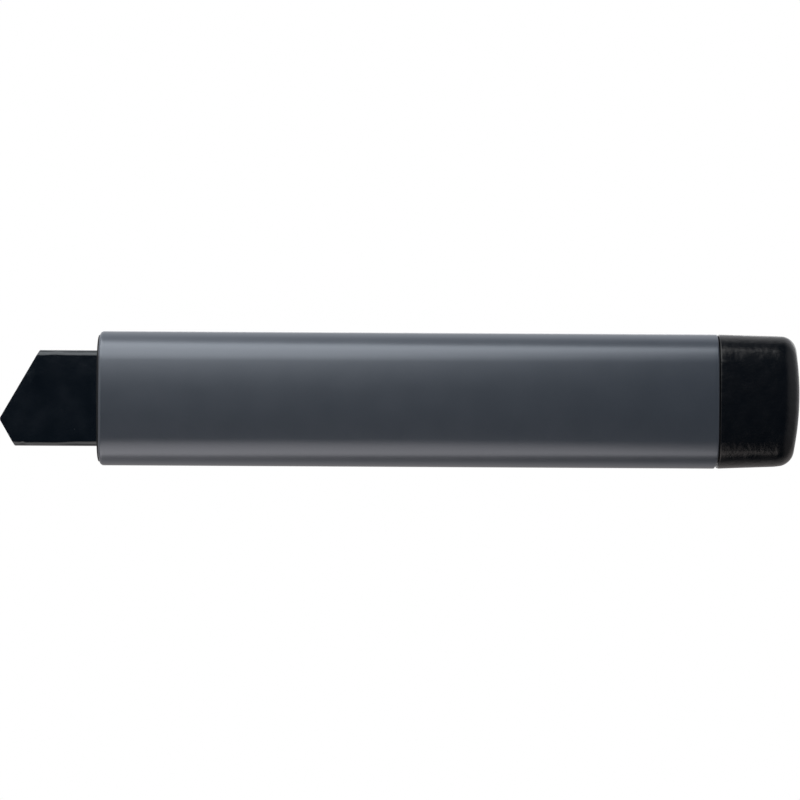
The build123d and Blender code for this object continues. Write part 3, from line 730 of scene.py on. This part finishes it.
@dataclass(frozen=True)
class TubeSection:
    """Section of the flat tube, which the housing, collar and cap share.

    From the middle of a broad face it runs on the crown, the shoulder and the corner, three arcs
    that meet without a break, to the flat of the narrow side.
    """

    width: float = 28.2 * MM
    thickness: float = 14.4 * MM
    corner: float = 5.4 * MM
    shoulder: float = 11.0 * MM
    shoulder_degrees: float = 17.0
    crown_degrees: float = 5.0
    face_flat: float = 0.5 * MM
    corner_steps: int = 12
    shoulder_steps: int = 4
    crown_steps: int = 8

    def outline(self, name: str, x: float, inset: float = 0.0) -> bpy.types.Object:
        """Traces the section and fills it.

        Args:
            name: Name of the new object.
            x: Where along the knife the section lies.
            inset: How far it lies inside the tube's outside.

        Returns:
            The object, in edit mode with its face selected.
        """
        middle, half = self.width / 2, self.thickness / 2
        arm = middle - self.corner
        low, high = radians(self.crown_degrees), radians(self.shoulder_degrees)
        step = self.corner - self.shoulder
        crown = self.shoulder + (arm + step * sin(high) - self.face_flat) / sin(low)
        side = half - crown - step * cos(high) - (self.shoulder - crown) * cos(low)
        shoulder = Vector((side + step * cos(high), arm + step * sin(high)))
        turn, bend = self.shoulder_degrees - self.crown_degrees, 90 - self.shoulder_degrees

        def at(y: float, height: float) -> Vector:
            """A point of the section, from its middle."""
            return Vector((x, y, middle + height))

        pen = Pen(name, at(half - inset, -self.face_flat))
        for face in (1, -1):
            pen.line(Vector((0, 0, 2 * face * self.face_flat)))
            pen.arc(at(face * (half - crown), face * self.face_flat), self.crown_degrees, self.crown_steps)
            pen.arc(at(*(face * shoulder)), turn, self.shoulder_steps)
            pen.arc(at(face * side, face * arm), bend, self.corner_steps)
            pen.line(Vector((0, -2 * face * side, 0)), 2)
            pen.arc(at(-face * side, face * arm), bend, self.corner_steps)
            pen.arc(at(-face * shoulder.x, face * shoulder.y), turn, self.shoulder_steps)
            pen.arc(at(-face * (half - crown), face * self.face_flat), self.crown_degrees, self.crown_steps)
        return pen.close()


@dataclass
class Housing:
    """The aluminium body, with its collar and the liner of its slot."""

    section: TubeSection = TubeSection()
    front: float = -64.65 * MM
    rear: float = 64.82 * MM
    wall: float = 1.2 * MM
    mouth_rounding: float = 0.8 * MM
    tail_rounding: float = 0.3 * MM
    tail_lean: tuple[tuple[float, float], ...] = (
        (2.6 * MM, 0.10 * MM), (1.4 * MM, 0.15 * MM), (0.6 * MM, 0.15 * MM),
    )
    front_row: float = 2.0 * MM
    rear_row: float = 1.2 * MM
    slot_front: float = -51.5 * MM
    slot_rear: float = 31.7 * MM
    slot_width: float = 9.0 * MM
    skirt: float = 1.0 * MM
    skirt_corner: float = 2.0 * MM
    lip: float = 2.4 * MM
    lip_corner: float = 3.4 * MM
    liner_corner: float = 3.3 * MM
    liner_edge: float = 0.18 * MM
    seat: float = 6.75 * MM
    liner_top: float = 7.35 * MM
    liner_bottom: float = 5.7 * MM
    fit: float = 0.05 * MM
    screw_x: float = 54.4 * MM
    screw_spacing: float = 16.0 * MM
    sink_middle: float = 6.36 * MM
    sink_depth: float = 2.5 * MM
    sink_radius: float = 2.7 * MM
    sink_point: float = 0.2 * MM
    collar_depth: float = 4.0 * MM
    passage_run: float = 20.0 * MM
    collar_lip: float = 0.30 * MM
    collar_edge: float = 0.10 * MM
    channel_depth: float = 2.7 * MM
    channel_width: float = 20.3 * MM
    channel_corner: float = 1.2 * MM

    @property
    def middle(self) -> float:
        """Height of the knife's middle line."""
        return self.section.width / 2

    def slot_tool(self, margin: float, low: float, corner: float) -> bpy.types.Object:
        """A cutter for the slot.

        Args:
            margin: How far it reaches beyond the clear slot all round.
            low: How deep it reaches, as a Y value.
            corner: Radius of its corners.

        Returns:
            The cutter.
        """
        high = self.section.thickness
        centre = Vector(((self.slot_front + self.slot_rear) / 2, (low + high) / 2, self.middle))
        size = Vector((
            self.slot_rear - self.slot_front + 2 * margin, high - low, self.slot_width + 2 * margin))
        return rounded_bar("slot_tool", centre, size, corner, 8)

    def build_tube(self) -> bpy.types.Object:
        """The tube with rounded rims, slot, liner seat and countersinks.

        Returns:
            The finished mesh.
        """
        tube = self.section.outline("housing_body", self.front)
        pull(x=self.rear - self.front)
        for end, rounding, steps in (
            (self.front, self.mouth_rounding, 7), (self.rear, self.tail_rounding, 5)
        ):
            pick(tube, Part.EDGE, lambda place, normal, end=end: abs(place.x - end) < WELD)
            round_edges(rounding, steps)
        for end, rounding in ((self.front, self.mouth_rounding), (self.rear, self.tail_rounding)):
            pick(tube, Part.FACE, lambda place, normal, end=end: (
                abs(place.x - end) < WELD and abs(normal.x) > 0.9))
            bpy.ops.mesh.inset(thickness=self.wall - rounding)
        # The tunnel, between the two end faces
        pick(tube, Part.FACE, lambda place, normal: abs(normal.x) > 0.99 and abs(place.y) < MM
             and abs(place.z - self.middle) < MM)
        bpy.ops.mesh.bridge_edge_loops()
        # Rows near the ends keep the shading of the long faces even
        for x in (self.front + self.front_row, self.rear - self.rear_row):
            saw(tube, Vector((x, 0, 0)), Vector((1, 0, 0)))
        for height, lean in self.tail_lean:
            pick(tube, Part.POINT, lambda place, normal, height=height: (
                place.x > self.rear - MM and place.z < height))
            slide(x=-lean)
        deep = self.liner_bottom - 2 * MM
        join_tool(tube, self.slot_tool(self.skirt, deep, self.skirt_corner), Joinery.CUT)
        join_tool(tube, self.slot_tool(self.lip, self.seat, self.lip_corner), Joinery.CUT)
        for side in (1, -1):
            clear_bench()
            bpy.ops.mesh.primitive_cone_add(
                vertices=48, radius1=self.sink_point, radius2=self.sink_radius, depth=self.sink_depth,
                location=(self.screw_x, self.sink_middle, self.middle + side * self.screw_spacing / 2),
                rotation=(radians(-90), 0, 0),
            )
            tool = bpy.context.object
            bpy.ops.object.transform_apply(location=True, rotation=True, scale=True)
            join_tool(tube, tool, Joinery.CUT)
        return tube

    def build_collar(self) -> bpy.types.Object:
        """The moulded collar in the housing's mouth, with its thin lip.

        Returns:
            The finished mesh.
        """
        collar = self.section.outline("mouth_collar", self.front - self.collar_lip, self.mouth_rounding)
        pull(x=self.collar_lip)
        pick(collar, Part.EDGE, lambda place, normal: place.x < self.front - self.collar_lip + WELD)
        round_edges(self.collar_edge, 2)
        pick(collar, Part.FACE, lambda place, normal: abs(place.x - self.front) < WELD)
        bpy.ops.mesh.inset(thickness=self.wall + self.fit - self.mouth_rounding)
        pull(x=self.collar_depth)
        join_tool(collar, self.passage(self.front - self.passage_run / 4, self.passage_run), Joinery.CUT)
        return collar

    def passage(self, x: float, length: float) -> bpy.types.Object:
        """A cutter for the way of the channel.

        Args:
            x: Where it begins.
            length: Its length.

        Returns:
            The cutter.
        """
        clear_bench()
        bpy.ops.mesh.primitive_cube_add(size=1.0)
        tool = bpy.context.object
        bpy.ops.object.mode_set(mode="EDIT")
        bpy.ops.mesh.select_all(action="SELECT")
        bpy.ops.transform.resize(value=(length, self.channel_depth, self.channel_width))
        bpy.ops.transform.translate(value=(x + length / 2, 0, self.middle))
        pick(tool, Part.EDGE, lambda place, normal: True)
        shape = bmesh.from_edit_mesh(tool.data)
        for edge in shape.edges:
            edge.select_set(abs(edge.verts[0].co.x - edge.verts[1].co.x) > length / 2)
        bmesh.update_edit_mesh(tool.data)
        round_edges(self.channel_corner, 6)
        return tool

    def build_liner(self) -> bpy.types.Object:
        """The moulded liner of the slot: a flange and a skirt.

        Returns:
            The finished mesh.
        """
        length = self.slot_rear - self.slot_front
        centre = Vector(((self.slot_front + self.slot_rear) / 2, self.liner_top, self.middle))
        margin = 2 * (self.lip - self.fit)
        liner = rounded_plate(
            "slot_liner_ring", centre, length + margin, self.slot_width + margin, self.liner_corner, 10
        )
        bpy.ops.mesh.inset(thickness=self.lip - self.skirt)
        bpy.ops.mesh.inset(thickness=self.skirt - self.fit)
        bpy.ops.mesh.delete(type="FACE")
        bpy.ops.mesh.select_all(action="SELECT")
        pull(y=self.seat - self.liner_top)
        inner = self.slot_width / 2 + self.skirt - self.fit
        run = length / 2 + self.skirt - self.fit
        pick(liner, Part.FACE, lambda place, normal: (
            place.y < self.seat + WELD
            and abs(place.z - self.middle) < inner and abs(place.x - centre.x) < run))
        pull(y=self.liner_bottom - self.seat)
        take(liner)
        bpy.ops.mesh.select_all(action="SELECT")
        bpy.ops.mesh.normals_make_consistent(inside=False)
        soften(liner, self.liner_edge, 3)
        return liner

    def build(self) -> None:
        """Builds and dresses the pieces of the housing."""
        hand_over(self.build_tube(), Body.KNIFE, Finishes.ALUMINIUM, "housing")
        hand_over(self.build_collar(), Body.KNIFE, Finishes.PLASTIC_BLACK, "front_collar")
        hand_over(self.build_liner(), Body.KNIFE, Finishes.PLASTIC_BLACK, "slot_liner")


@dataclass
class Channel:
    """The folded black steel channel that guides the blade, with its five-sided nose."""

    front: float = -85.9 * MM
    length: float = 132.0 * MM
    width: float = 20.2 * MM
    depth: float = 2.6 * MM
    sheet: float = 0.8 * MM
    bend: float = 1.2 * MM
    opening: float = 8.0 * MM
    middle: float = 14.1 * MM
    slopes: tuple[tuple[int, float], ...] = ((1, 59.85), (-1, 60.5))
    tip_below: float = 4.4 * MM
    facet: float = 1.9 * MM
    facet_bend: float = 0.15 * MM
    blunt: float = 0.15 * MM
    row_pitch: float = 1.6 * MM
    first_row: float = 4.0 * MM
    # Millimetres that the upper and lower fold tighten by, in rows from the nose
    fold_uneven: tuple[tuple[float, float], ...] = (
        (0.00, 0.18), (0.00, 0.20), (0.01, 0.18), (0.02, 0.16), (0.06, 0.18), (0.20, 0.20),
        (0.10, 0.15), (0.04, 0.06), (0.00, 0.01), (0.04, 0.04), (0.01, 0.00),
    )
    fold_reach: float = 0.8 * MM
    notch_pitch: float = 2.5 * MM
    notches: int = 27
    notch_x: float = -9.9 * MM
    notch_depth: float = 0.8 * MM
    notch_reach: float = 1.0 * MM
    hole_radius: float = 0.95 * MM
    hole_x: float = 44.3 * MM
    hole_spacing: float = 14.0 * MM

    def build_profile(self) -> bpy.types.Object:
        """The folded section, drawn out to the channel's length.

        Returns:
            The object, in edit mode.
        """
        half, back, lip = self.width / 2, self.depth / 2, self.opening / 2
        inner = self.bend - self.sheet

        def at(y: float, height: float) -> Vector:
            """A point of the section, from its middle."""
            return Vector((self.front, y, self.middle + height))

        side = Vector((0, 2 * back - 2 * self.bend, 0))
        pen = Pen("guide_channel", at(back, -lip))
        pen.line(Vector((0, 0, lip + self.bend - half)))
        pen.arc(at(back - self.bend, self.bend - half), -90, 6)
        pen.line(-side)
        pen.arc(at(self.bend - back, self.bend - half), -90, 6)
        pen.line(Vector((0, 0, self.width - 2 * self.bend)), 4)
        pen.arc(at(self.bend - back, half - self.bend), -90, 6)
        pen.line(side)
        pen.arc(at(back - self.bend, half - self.bend), -90, 6)
        pen.line(Vector((0, 0, lip + self.bend - half)))
        pen.line(Vector((0, -self.sheet, 0)))
        pen.line(Vector((0, 0, half - self.bend - lip)))
        pen.arc(at(back - self.bend, half - self.bend), 90, 4)
        pen.line(-side)
        pen.arc(at(self.bend - back, half - self.bend), 90, 4)
        pen.line(Vector((0, 0, 2 * self.bend - self.width)), 4)
        pen.arc(at(self.bend - back, self.bend - half), 90, 4)
        pen.line(side)
        pen.arc(at(back - self.bend, self.bend - half), 90, 4)
        pen.line(Vector((0, 0, half - self.bend - lip)))
        channel = pen.close()
        pull(x=self.length)
        return channel

    def shape_nose(self, channel: bpy.types.Object) -> None:
        """Cuts the two slopes of the nose and gives each its bent margin.

        Args:
            channel: The drawn channel, in edit mode.
        """
        tip = Vector((self.front, 0, self.middle - self.tip_below))
        ways = [
            Vector((-sin(radians(degrees)), 0, side * cos(radians(degrees)))) for side, degrees in self.slopes
        ]
        for outward in ways:
            saw(channel, tip, outward, trim=True)
            saw(channel, tip - outward * self.facet, outward)
        saw(channel, tip + Vector((self.blunt, 0, 0)), Vector((-1, 0, 0)), trim=True)
        start = self.width / 2 - self.bend
        rows = [self.front + self.first_row + row * self.row_pitch for row in range(len(self.fold_uneven))]
        for x in rows:
            saw(channel, Vector((x, 0, 0)), Vector((1, 0, 0)))
        for x, shifts in zip(rows, self.fold_uneven):
            for side, shift in zip((1, -1), shifts):
                pick(channel, Part.POINT, lambda place, normal, x=x, side=side: (
                    abs(place.x - x) < WELD and place.y < 0
                    and WELD < side * (place.z - self.middle) - start < self.fold_reach))
                slide(z=side * shift * MM)
        for outward in ways:
            pick(channel, Part.POINT, lambda place, normal, outward=outward: (
                place.y < self.bend - self.depth / 2 and (place - tip).dot(outward) > -WELD))
            slide(y=self.facet_bend)

    def build(self) -> None:
        """Builds and dresses the channel."""
        channel = self.build_profile()
        self.shape_nose(channel)
        run = (self.notches - 1) * self.notch_pitch
        start = Vector((self.notch_x - run / 2, self.depth / 2, self.middle))
        for side in (1, -1):
            clear_bench()
            bpy.ops.mesh.primitive_cylinder_add(
                vertices=4, radius=self.notch_reach, depth=4 * MM, rotation=(radians(90), 0, 0),
                location=start + Vector((0, 0, side * self.opening / 2)),
            )
            tool = bpy.context.object
            tool.scale = (1.0, self.notch_depth / self.notch_reach, 1.0)
            bpy.ops.object.transform_apply(location=True, rotation=True, scale=True)
            repeat(tool, self.notch_pitch, self.notches)
            join_tool(channel, tool, Joinery.CUT)
            clear_bench()
            bpy.ops.mesh.primitive_cylinder_add(
                vertices=32, radius=self.hole_radius, depth=6 * MM, rotation=(radians(90), 0, 0),
                location=(self.hole_x, 0, self.middle + side * self.hole_spacing / 2),
            )
            join_tool(channel, bpy.context.object, Joinery.CUT)
        hand_over(channel, Body.KNIFE, Finishes.STEEL_BLACK, "blade_channel", sharp=32.0)


@dataclass
class EndCap:
    """The moulded cap, tapered, with a crowned end."""

    section: TubeSection = TubeSection()
    front: float = 65.0 * MM
    length: float = 17.4 * MM
    taper_degrees: float = 1.7
    lift: float = 4.1 * MM
    crown: float = 55.0 * MM
    side_crown: float = 13.0 * MM
    side_share: float = 0.8
    crown_above: float = 1.3 * MM
    rounding: float = 2.5 * MM
    rim: float = 0.3 * MM
    wall: float = 1.9 * MM
    recess: float = 12.7 * MM
    front_row: float = 1.5 * MM
    bow_length: float = 5.0 * MM
    rows: int = 15

    def build(self) -> None:
        """Builds and dresses the cap."""
        middle = self.section.width / 2
        end = self.front + self.length
        cap = self.section.outline("rear_end_cap", self.front)
        pull(x=self.length)
        narrowing = self.length * tan(radians(self.taper_degrees))
        pick(cap, Part.FACE, lambda place, normal: place.x > end - WELD)
        bpy.ops.transform.resize(
            value=(1.0, 1 - 2 * narrowing / self.section.thickness, 1 - 2 * narrowing / self.section.width),
            center_override=(end, 0, middle + self.lift),
        )
        pick(cap, Part.EDGE, lambda place, normal: place.x > end - WELD)
        round_edges(self.rounding, 9)
        pick(cap, Part.EDGE, lambda place, normal: place.x < self.front + WELD)
        round_edges(self.rim, 3)
        pick(cap, Part.FACE, lambda place, normal: place.x < self.front + WELD and normal.x < -0.9)
        bpy.ops.mesh.inset(thickness=self.wall - self.rim)
        pull(x=self.recess)
        for x in (self.front + self.front_row, end - self.bow_length - 0.5 * MM):
            saw(cap, Vector((x, 0, 0)), Vector((1, 0, 0)))
        for row in range(1, self.rows):
            height = self.section.width * row / self.rows
            saw(cap, Vector((0, 0, height)), Vector((0, 0, 1)))
        self.bow(cap, middle + self.crown_above, end - self.bow_length)
        hand_over(cap, Body.CAP, Finishes.CAP_BLACK, "end_cap", sharp=45.0)

    def bow(self, cap: bpy.types.Object, height: float, start: float) -> None:
        """Bows the flat end to the crown's radius.

        Args:
            cap: The cap, in edit mode.
            height: Height of the crown's top.
            start: Points behind this X are moved.
        """
        shape = bmesh.from_edit_mesh(cap.data)
        for point in shape.verts:
            if point.co.x > start:
                away, across = point.co.z - height, point.co.y
                point.co.x -= self.crown - sqrt(self.crown**2 - away**2)
                point.co.x -= (self.side_crown - sqrt(self.side_crown**2 - across**2)) * self.side_share
        bmesh.update_edit_mesh(cap.data)


@dataclass
class ThumbButton:
    """The thumb button and its ribbed pad."""

    centre: float = 20.1 * MM
    middle: float = 14.1 * MM
    length: float = 27.0 * MM
    width: float = 15.0 * MM
    bottom: float = 8.45 * MM
    top: float = 11.4 * MM
    ceiling: float = 10.8 * MM
    corner: float = 4.0 * MM
    rim: float = 1.0 * MM
    border: float = 1.4 * MM
    wall: float = 1.6 * MM
    overlap: float = 0.05 * MM
    stem_length: float = 5.0 * MM
    stem_width: float = 3.0 * MM
    stem_bottom: float = 1.3 * MM
    stem_corner: float = 0.2 * MM
    pad_length: float = 21.0 * MM
    pad_width: float = 10.0 * MM
    pad_corner: float = 2.2 * MM
    pad_seat: float = 0.3 * MM
    pad_lift: float = 0.02 * MM
    ribs: int = 8
    rib_pitch: float = 2.4 * MM
    rib_width: float = 1.32 * MM
    rib_top: float = 12.1 * MM
    rib_corner: float = 0.62 * MM
    rib_rounding: float = 0.45 * MM

    def build_button(self) -> bpy.types.Object:
        """The button, hollow below, with its stem.

        Returns:
            The finished mesh.
        """
        button = rounded_plate(
            "thumb_slide_button", Vector((self.centre, self.bottom, self.middle)), self.length, self.width,
            self.corner, 12,
        )
        pull(y=self.top - self.bottom)
        pick(button, Part.EDGE, lambda place, normal: place.y > self.top - WELD)
        round_edges(self.rim, 7)
        pick(button, Part.FACE, lambda place, normal: place.y > self.top - WELD and normal.y > 0.9)
        bpy.ops.mesh.inset(thickness=self.border)
        pull(y=-self.pad_seat)
        pick(button, Part.FACE, lambda place, normal: place.y < self.bottom + WELD and abs(normal.y) > 0.9)
        bpy.ops.mesh.inset(thickness=self.wall)
        pull(y=self.ceiling - self.bottom - self.overlap)
        middle = (self.ceiling + self.stem_bottom) / 2
        stem = rounded_bar(
            "stem_tool", Vector((self.centre, middle, self.middle)),
            Vector((self.stem_length, self.ceiling - self.stem_bottom, self.stem_width)),
            self.stem_corner, 3,
        )
        join_tool(button, stem, Joinery.ADD)
        return button

    def build_pad(self) -> bpy.types.Object:
        """The soft pad: a thin plate with round-topped ribs.

        Returns:
            The finished mesh.
        """
        seat = self.top - self.pad_seat
        pad = rounded_bar(
            "ribbed_grip_pad", Vector((self.centre, seat + self.pad_seat / 2 + self.pad_lift, self.middle)),
            Vector((self.pad_length, self.pad_seat, self.pad_width)), self.pad_corner, 8,
        )
        low = seat + 0.1 * MM
        rise = self.rib_top - low
        first = self.centre - (self.ribs - 1) * self.rib_pitch / 2
        rib = rounded_bar(
            "rib_tool", Vector((first, low + rise / 2, self.middle)),
            Vector((self.rib_width, rise, self.pad_width - MM)), self.rib_corner, 6,
        )
        pick(rib, Part.EDGE, lambda place, normal: place.y > self.rib_top - WELD)
        round_edges(self.rib_rounding, 4)
        repeat(rib, self.rib_pitch, self.ribs)
        join_tool(pad, rib, Joinery.ADD)
        return pad

    def build(self) -> None:
        """Builds and dresses the button and its pad."""
        hand_over(self.build_button(), Body.BUTTON, Finishes.CAP_BLACK, "thumb_button")
        hand_over(self.build_pad(), Body.BUTTON, Finishes.RUBBER, "grip_pad")


@dataclass
class ButtonSprings:
    """The two coil springs between the slider and the button. The real ones shorten as it is pressed; these
    ride on the slider and keep their length.
    """

    centre: float = 20.1 * MM
    middle: float = 14.1 * MM
    offset: float = 6.5 * MM
    radius: float = 1.25 * MM
    wire: float = 0.3 * MM
    low: float = 6.03 * MM
    pitch: float = 0.85 * MM
    turns: int = 5
    turn_steps: int = 20
    wire_steps: int = 10
    pressed_share: float = 0.80

    def build(self) -> None:
        """Builds and dresses both springs as one piece."""
        clear_bench()
        bpy.ops.mesh.primitive_circle_add(
            vertices=self.wire_steps, radius=self.wire / 2, location=(self.radius, 0, 0))
        coil = bpy.context.object
        coil.name = "button_coil_springs"
        bpy.ops.object.transform_apply(location=True, rotation=True, scale=True)
        winding = coil.modifiers.new("winding", "SCREW")
        winding.axis, winding.screw_offset, winding.iterations = "Y", self.pitch, self.turns
        winding.steps = winding.render_steps = self.turn_steps
        winding.use_merge_vertices = False
        bpy.ops.object.modifier_apply(modifier=winding.name)
        take(coil)
        bpy.ops.mesh.select_all(action="SELECT")
        bpy.ops.mesh.remove_doubles(threshold=WELD / 10)
        bpy.ops.mesh.fill_holes(sides=0)
        slide(self.centre - self.offset, self.low + self.wire / 2, self.middle)
        bpy.ops.mesh.duplicate()
        slide(x=2 * self.offset)
        bpy.ops.mesh.select_all(action="SELECT")
        bpy.ops.mesh.normals_make_consistent(inside=False)
        hand_over(coil, Body.SLIDER, Finishes.STEEL_BRIGHT, "button_springs")
        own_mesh(coil)


class Inside:
    """The CAD nodes that stay as they are and get their finish here."""

    FINISHES: ClassVar[dict[str, Finish]] = {
        "upper_rail": Finishes.NYLON,
        "lower_rail": Finishes.NYLON,
        "rear_block": Finishes.NYLON,
        "channel_rivets": Finishes.STEEL_BRIGHT,
        "rear_screws": Finishes.STEEL_BLACK,
        "carriage": Finishes.PLASTIC_BLACK,
        "blade_pin": Finishes.STEEL_BRIGHT,
        "blade": Finishes.BLADE,
        "lock_pawl": Finishes.STEEL_BRIGHT,
        "pawl_screw": Finishes.STEEL_BRIGHT,
        "cap_plug": Finishes.NYLON,
        "cassette_tray": Finishes.NYLON,
        "cassette_cover": Finishes.NYLON,
        "cassette_spring": Finishes.STEEL_BRIGHT,
        "cassette_pin": Finishes.STEEL_BRIGHT,
        "spare_blade_1": Finishes.BLADE,
        "spare_blade_2": Finishes.BLADE,
    }

    def build(self) -> None:
        """Dresses the nodes."""
        for name, finish in self.FINISHES.items():
            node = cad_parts[name]
            for place in node.material_slots:
                place.material = finish.material()
            LOG.info("%s: frame node, %s", name, finish.name)


# ---- Studio ----------------------------------------------------------------------------


@dataclass(frozen=True)
class Softbox:
    """A soft rectangular light that faces the knife."""

    name: str
    place: tuple[float, float, float]
    size: tuple[float, float]
    power: float
    color: Color = (1.0, 1.0, 1.0)

    def build(self, aim: Vector) -> None:
        """Adds the light.

        Args:
            aim: The point that it faces.
        """
        lamp = bpy.data.lights.new(self.name, "AREA")
        lamp.shape = "RECTANGLE"
        lamp.size, lamp.size_y = self.size
        lamp.energy = self.power
        lamp.color = self.color
        stand = bpy.data.objects.new(self.name, lamp)
        stand.location = self.place
        stand.visible_camera = False
        stand.rotation_euler = (aim - Vector(self.place)).to_track_quat("-Z", "Y").to_euler()
        bpy.context.scene.collection.objects.link(stand)


@dataclass
class Studio:
    """Floor, surroundings, lights and camera."""

    aim: tuple[float, float, float] = (-1.695 * MM, 0.0, 14.067 * MM)
    distance: float = 585.0 * MM
    lens: float = 125.0
    roll_degrees: float = 0.32
    floor_size: float = 4.0
    softboxes: tuple[Softbox, ...] = (
        Softbox("top_softbox", (-0.265, -0.341, 0.380), (0.94, 0.57), 2.2, (1.0, 0.99, 0.97)),
        Softbox("low_softbox", (-0.21, -0.305, -0.390), (0.9, 0.46), 0.97, (1.0, 0.91, 0.87)),
        Softbox("rear_softbox", (0.15, 0.52, 0.16), (0.7, 0.22), 0.5, (1.0, 0.99, 0.97)),
    )
    front_light: Color = (0.042, 0.064, 0.098)
    low_front_light: Color = (0.010, 0.021, 0.034)
    upper_light: Color = (0.80, 0.81, 0.84)
    lower_light: Color = (0.46, 0.43, 0.425)
    # Between which parts of the direction's X, Y or Z the surroundings change
    front_rise: tuple[float, float] = (-0.45, 0.25)
    back_rise: tuple[float, float] = (-0.3, 0.2)
    back_span: tuple[float, float] = (-0.15, 0.45)
    steep_span: tuple[float, float] = (0.6, 0.95)
    steep_side: tuple[float, float] = (-0.15, 0.18)
    steep_share: tuple[float, float] = (0.85, 0.0)
    side_span: tuple[float, float] = (0.45, 0.85)
    side_share: float = 0.35

    def build_floor(self) -> None:
        """The plain white floor that the knife's lower side rests on."""
        clear_bench()
        bpy.ops.mesh.primitive_plane_add(size=self.floor_size, location=(0, 0, -0.01 * MM))
        floor = bpy.context.object
        floor.name = "studio_floor"
        material = bpy.data.materials.new("floor_white")
        material.use_nodes = True
        graph = Graph(material.node_tree)
        material.node_tree.nodes.clear()
        glow = graph.node("Emission", {"Color": (1, 1, 1, 1), "Strength": 1.0})
        graph.node("OutputMaterial", {"Surface": glow.outputs[0]})
        floor.data.materials.append(material)
        floor.visible_glossy = floor.visible_diffuse = floor.visible_shadow = False
        floor.visible_transmission = False

    def build_world(self) -> None:
        """Surroundings: white to the camera, dark in front of the knife and bright behind it."""
        world = bpy.data.worlds.new("studio")
        bpy.context.scene.world = world
        world.use_nodes = True
        world.node_tree.nodes.clear()
        graph = Graph(world.node_tree)
        way = graph.node("SeparateXYZ", {0: graph.node("TexCoord").outputs["Generated"]})
        height = graph.span(way.outputs["Z"], *self.back_rise)
        behind = graph.blend(height, self.lower_light, self.upper_light)
        steep = graph.span(graph.math("ABSOLUTE", way.outputs["Z"]), *self.steep_span)
        over = graph.span(way.outputs["X"], *self.steep_side, *self.steep_share)
        steep = graph.math("MULTIPLY", steep, over)
        aside = graph.span(graph.math("ABSOLUTE", way.outputs["X"]), *self.side_span, 0.0, self.side_share)
        share = graph.math("MAXIMUM", graph.span(way.outputs["Y"], *self.back_span), steep)
        share = graph.math("MAXIMUM", share, aside)
        height = graph.span(way.outputs["Z"], *self.front_rise)
        before = graph.blend(height, self.low_front_light, self.front_light)
        around = graph.blend(share, before, behind)
        seen = graph.node("LightPath").outputs["Is Camera Ray"]
        glow = graph.node("Background", {"Color": graph.blend(seen, around, (1.0, 1.0, 1.0))})
        graph.node("OutputWorld", {"Surface": glow.outputs[0]})

    def build_camera(self) -> None:
        """The camera, square to the smooth face."""
        data = bpy.data.cameras.new("camera")
        data.lens, data.sensor_width = self.lens, 36.0
        data.clip_start, data.clip_end = 0.01, 20.0
        camera = bpy.data.objects.new("camera", data)
        turn = Matrix.Rotation(radians(90), 4, "X") @ Matrix.Rotation(radians(self.roll_degrees), 4, "Z")
        place = Vector(self.aim) - Vector((0, self.distance, 0))
        camera.matrix_world = Matrix.Translation(place) @ turn
        bpy.context.scene.collection.objects.link(camera)
        bpy.context.scene.camera = camera

    def build(self) -> None:
        """Builds the studio."""
        self.build_floor()
        self.build_world()
        for softbox in self.softboxes:
            softbox.build(Vector(self.aim))
        self.build_camera()
        bpy.context.scene.view_settings.view_transform = "Standard"
        LOG.info("studio: %d softboxes", len(self.softboxes))


def main() -> None:
    """Builds the knife and its studio."""
    logging.basicConfig(level=logging.INFO, format="%(name)s %(message)s")
    Studio().build()
    for assembly in (Housing(), Channel(), EndCap(), ThumbButton(), ButtonSprings(), Inside()):
        assembly.build()
        LOG.info("built %s", type(assembly).__name__)
    clear_bench()
    bpy.context.view_layer.update()


if __name__ == "__main__":
    main()
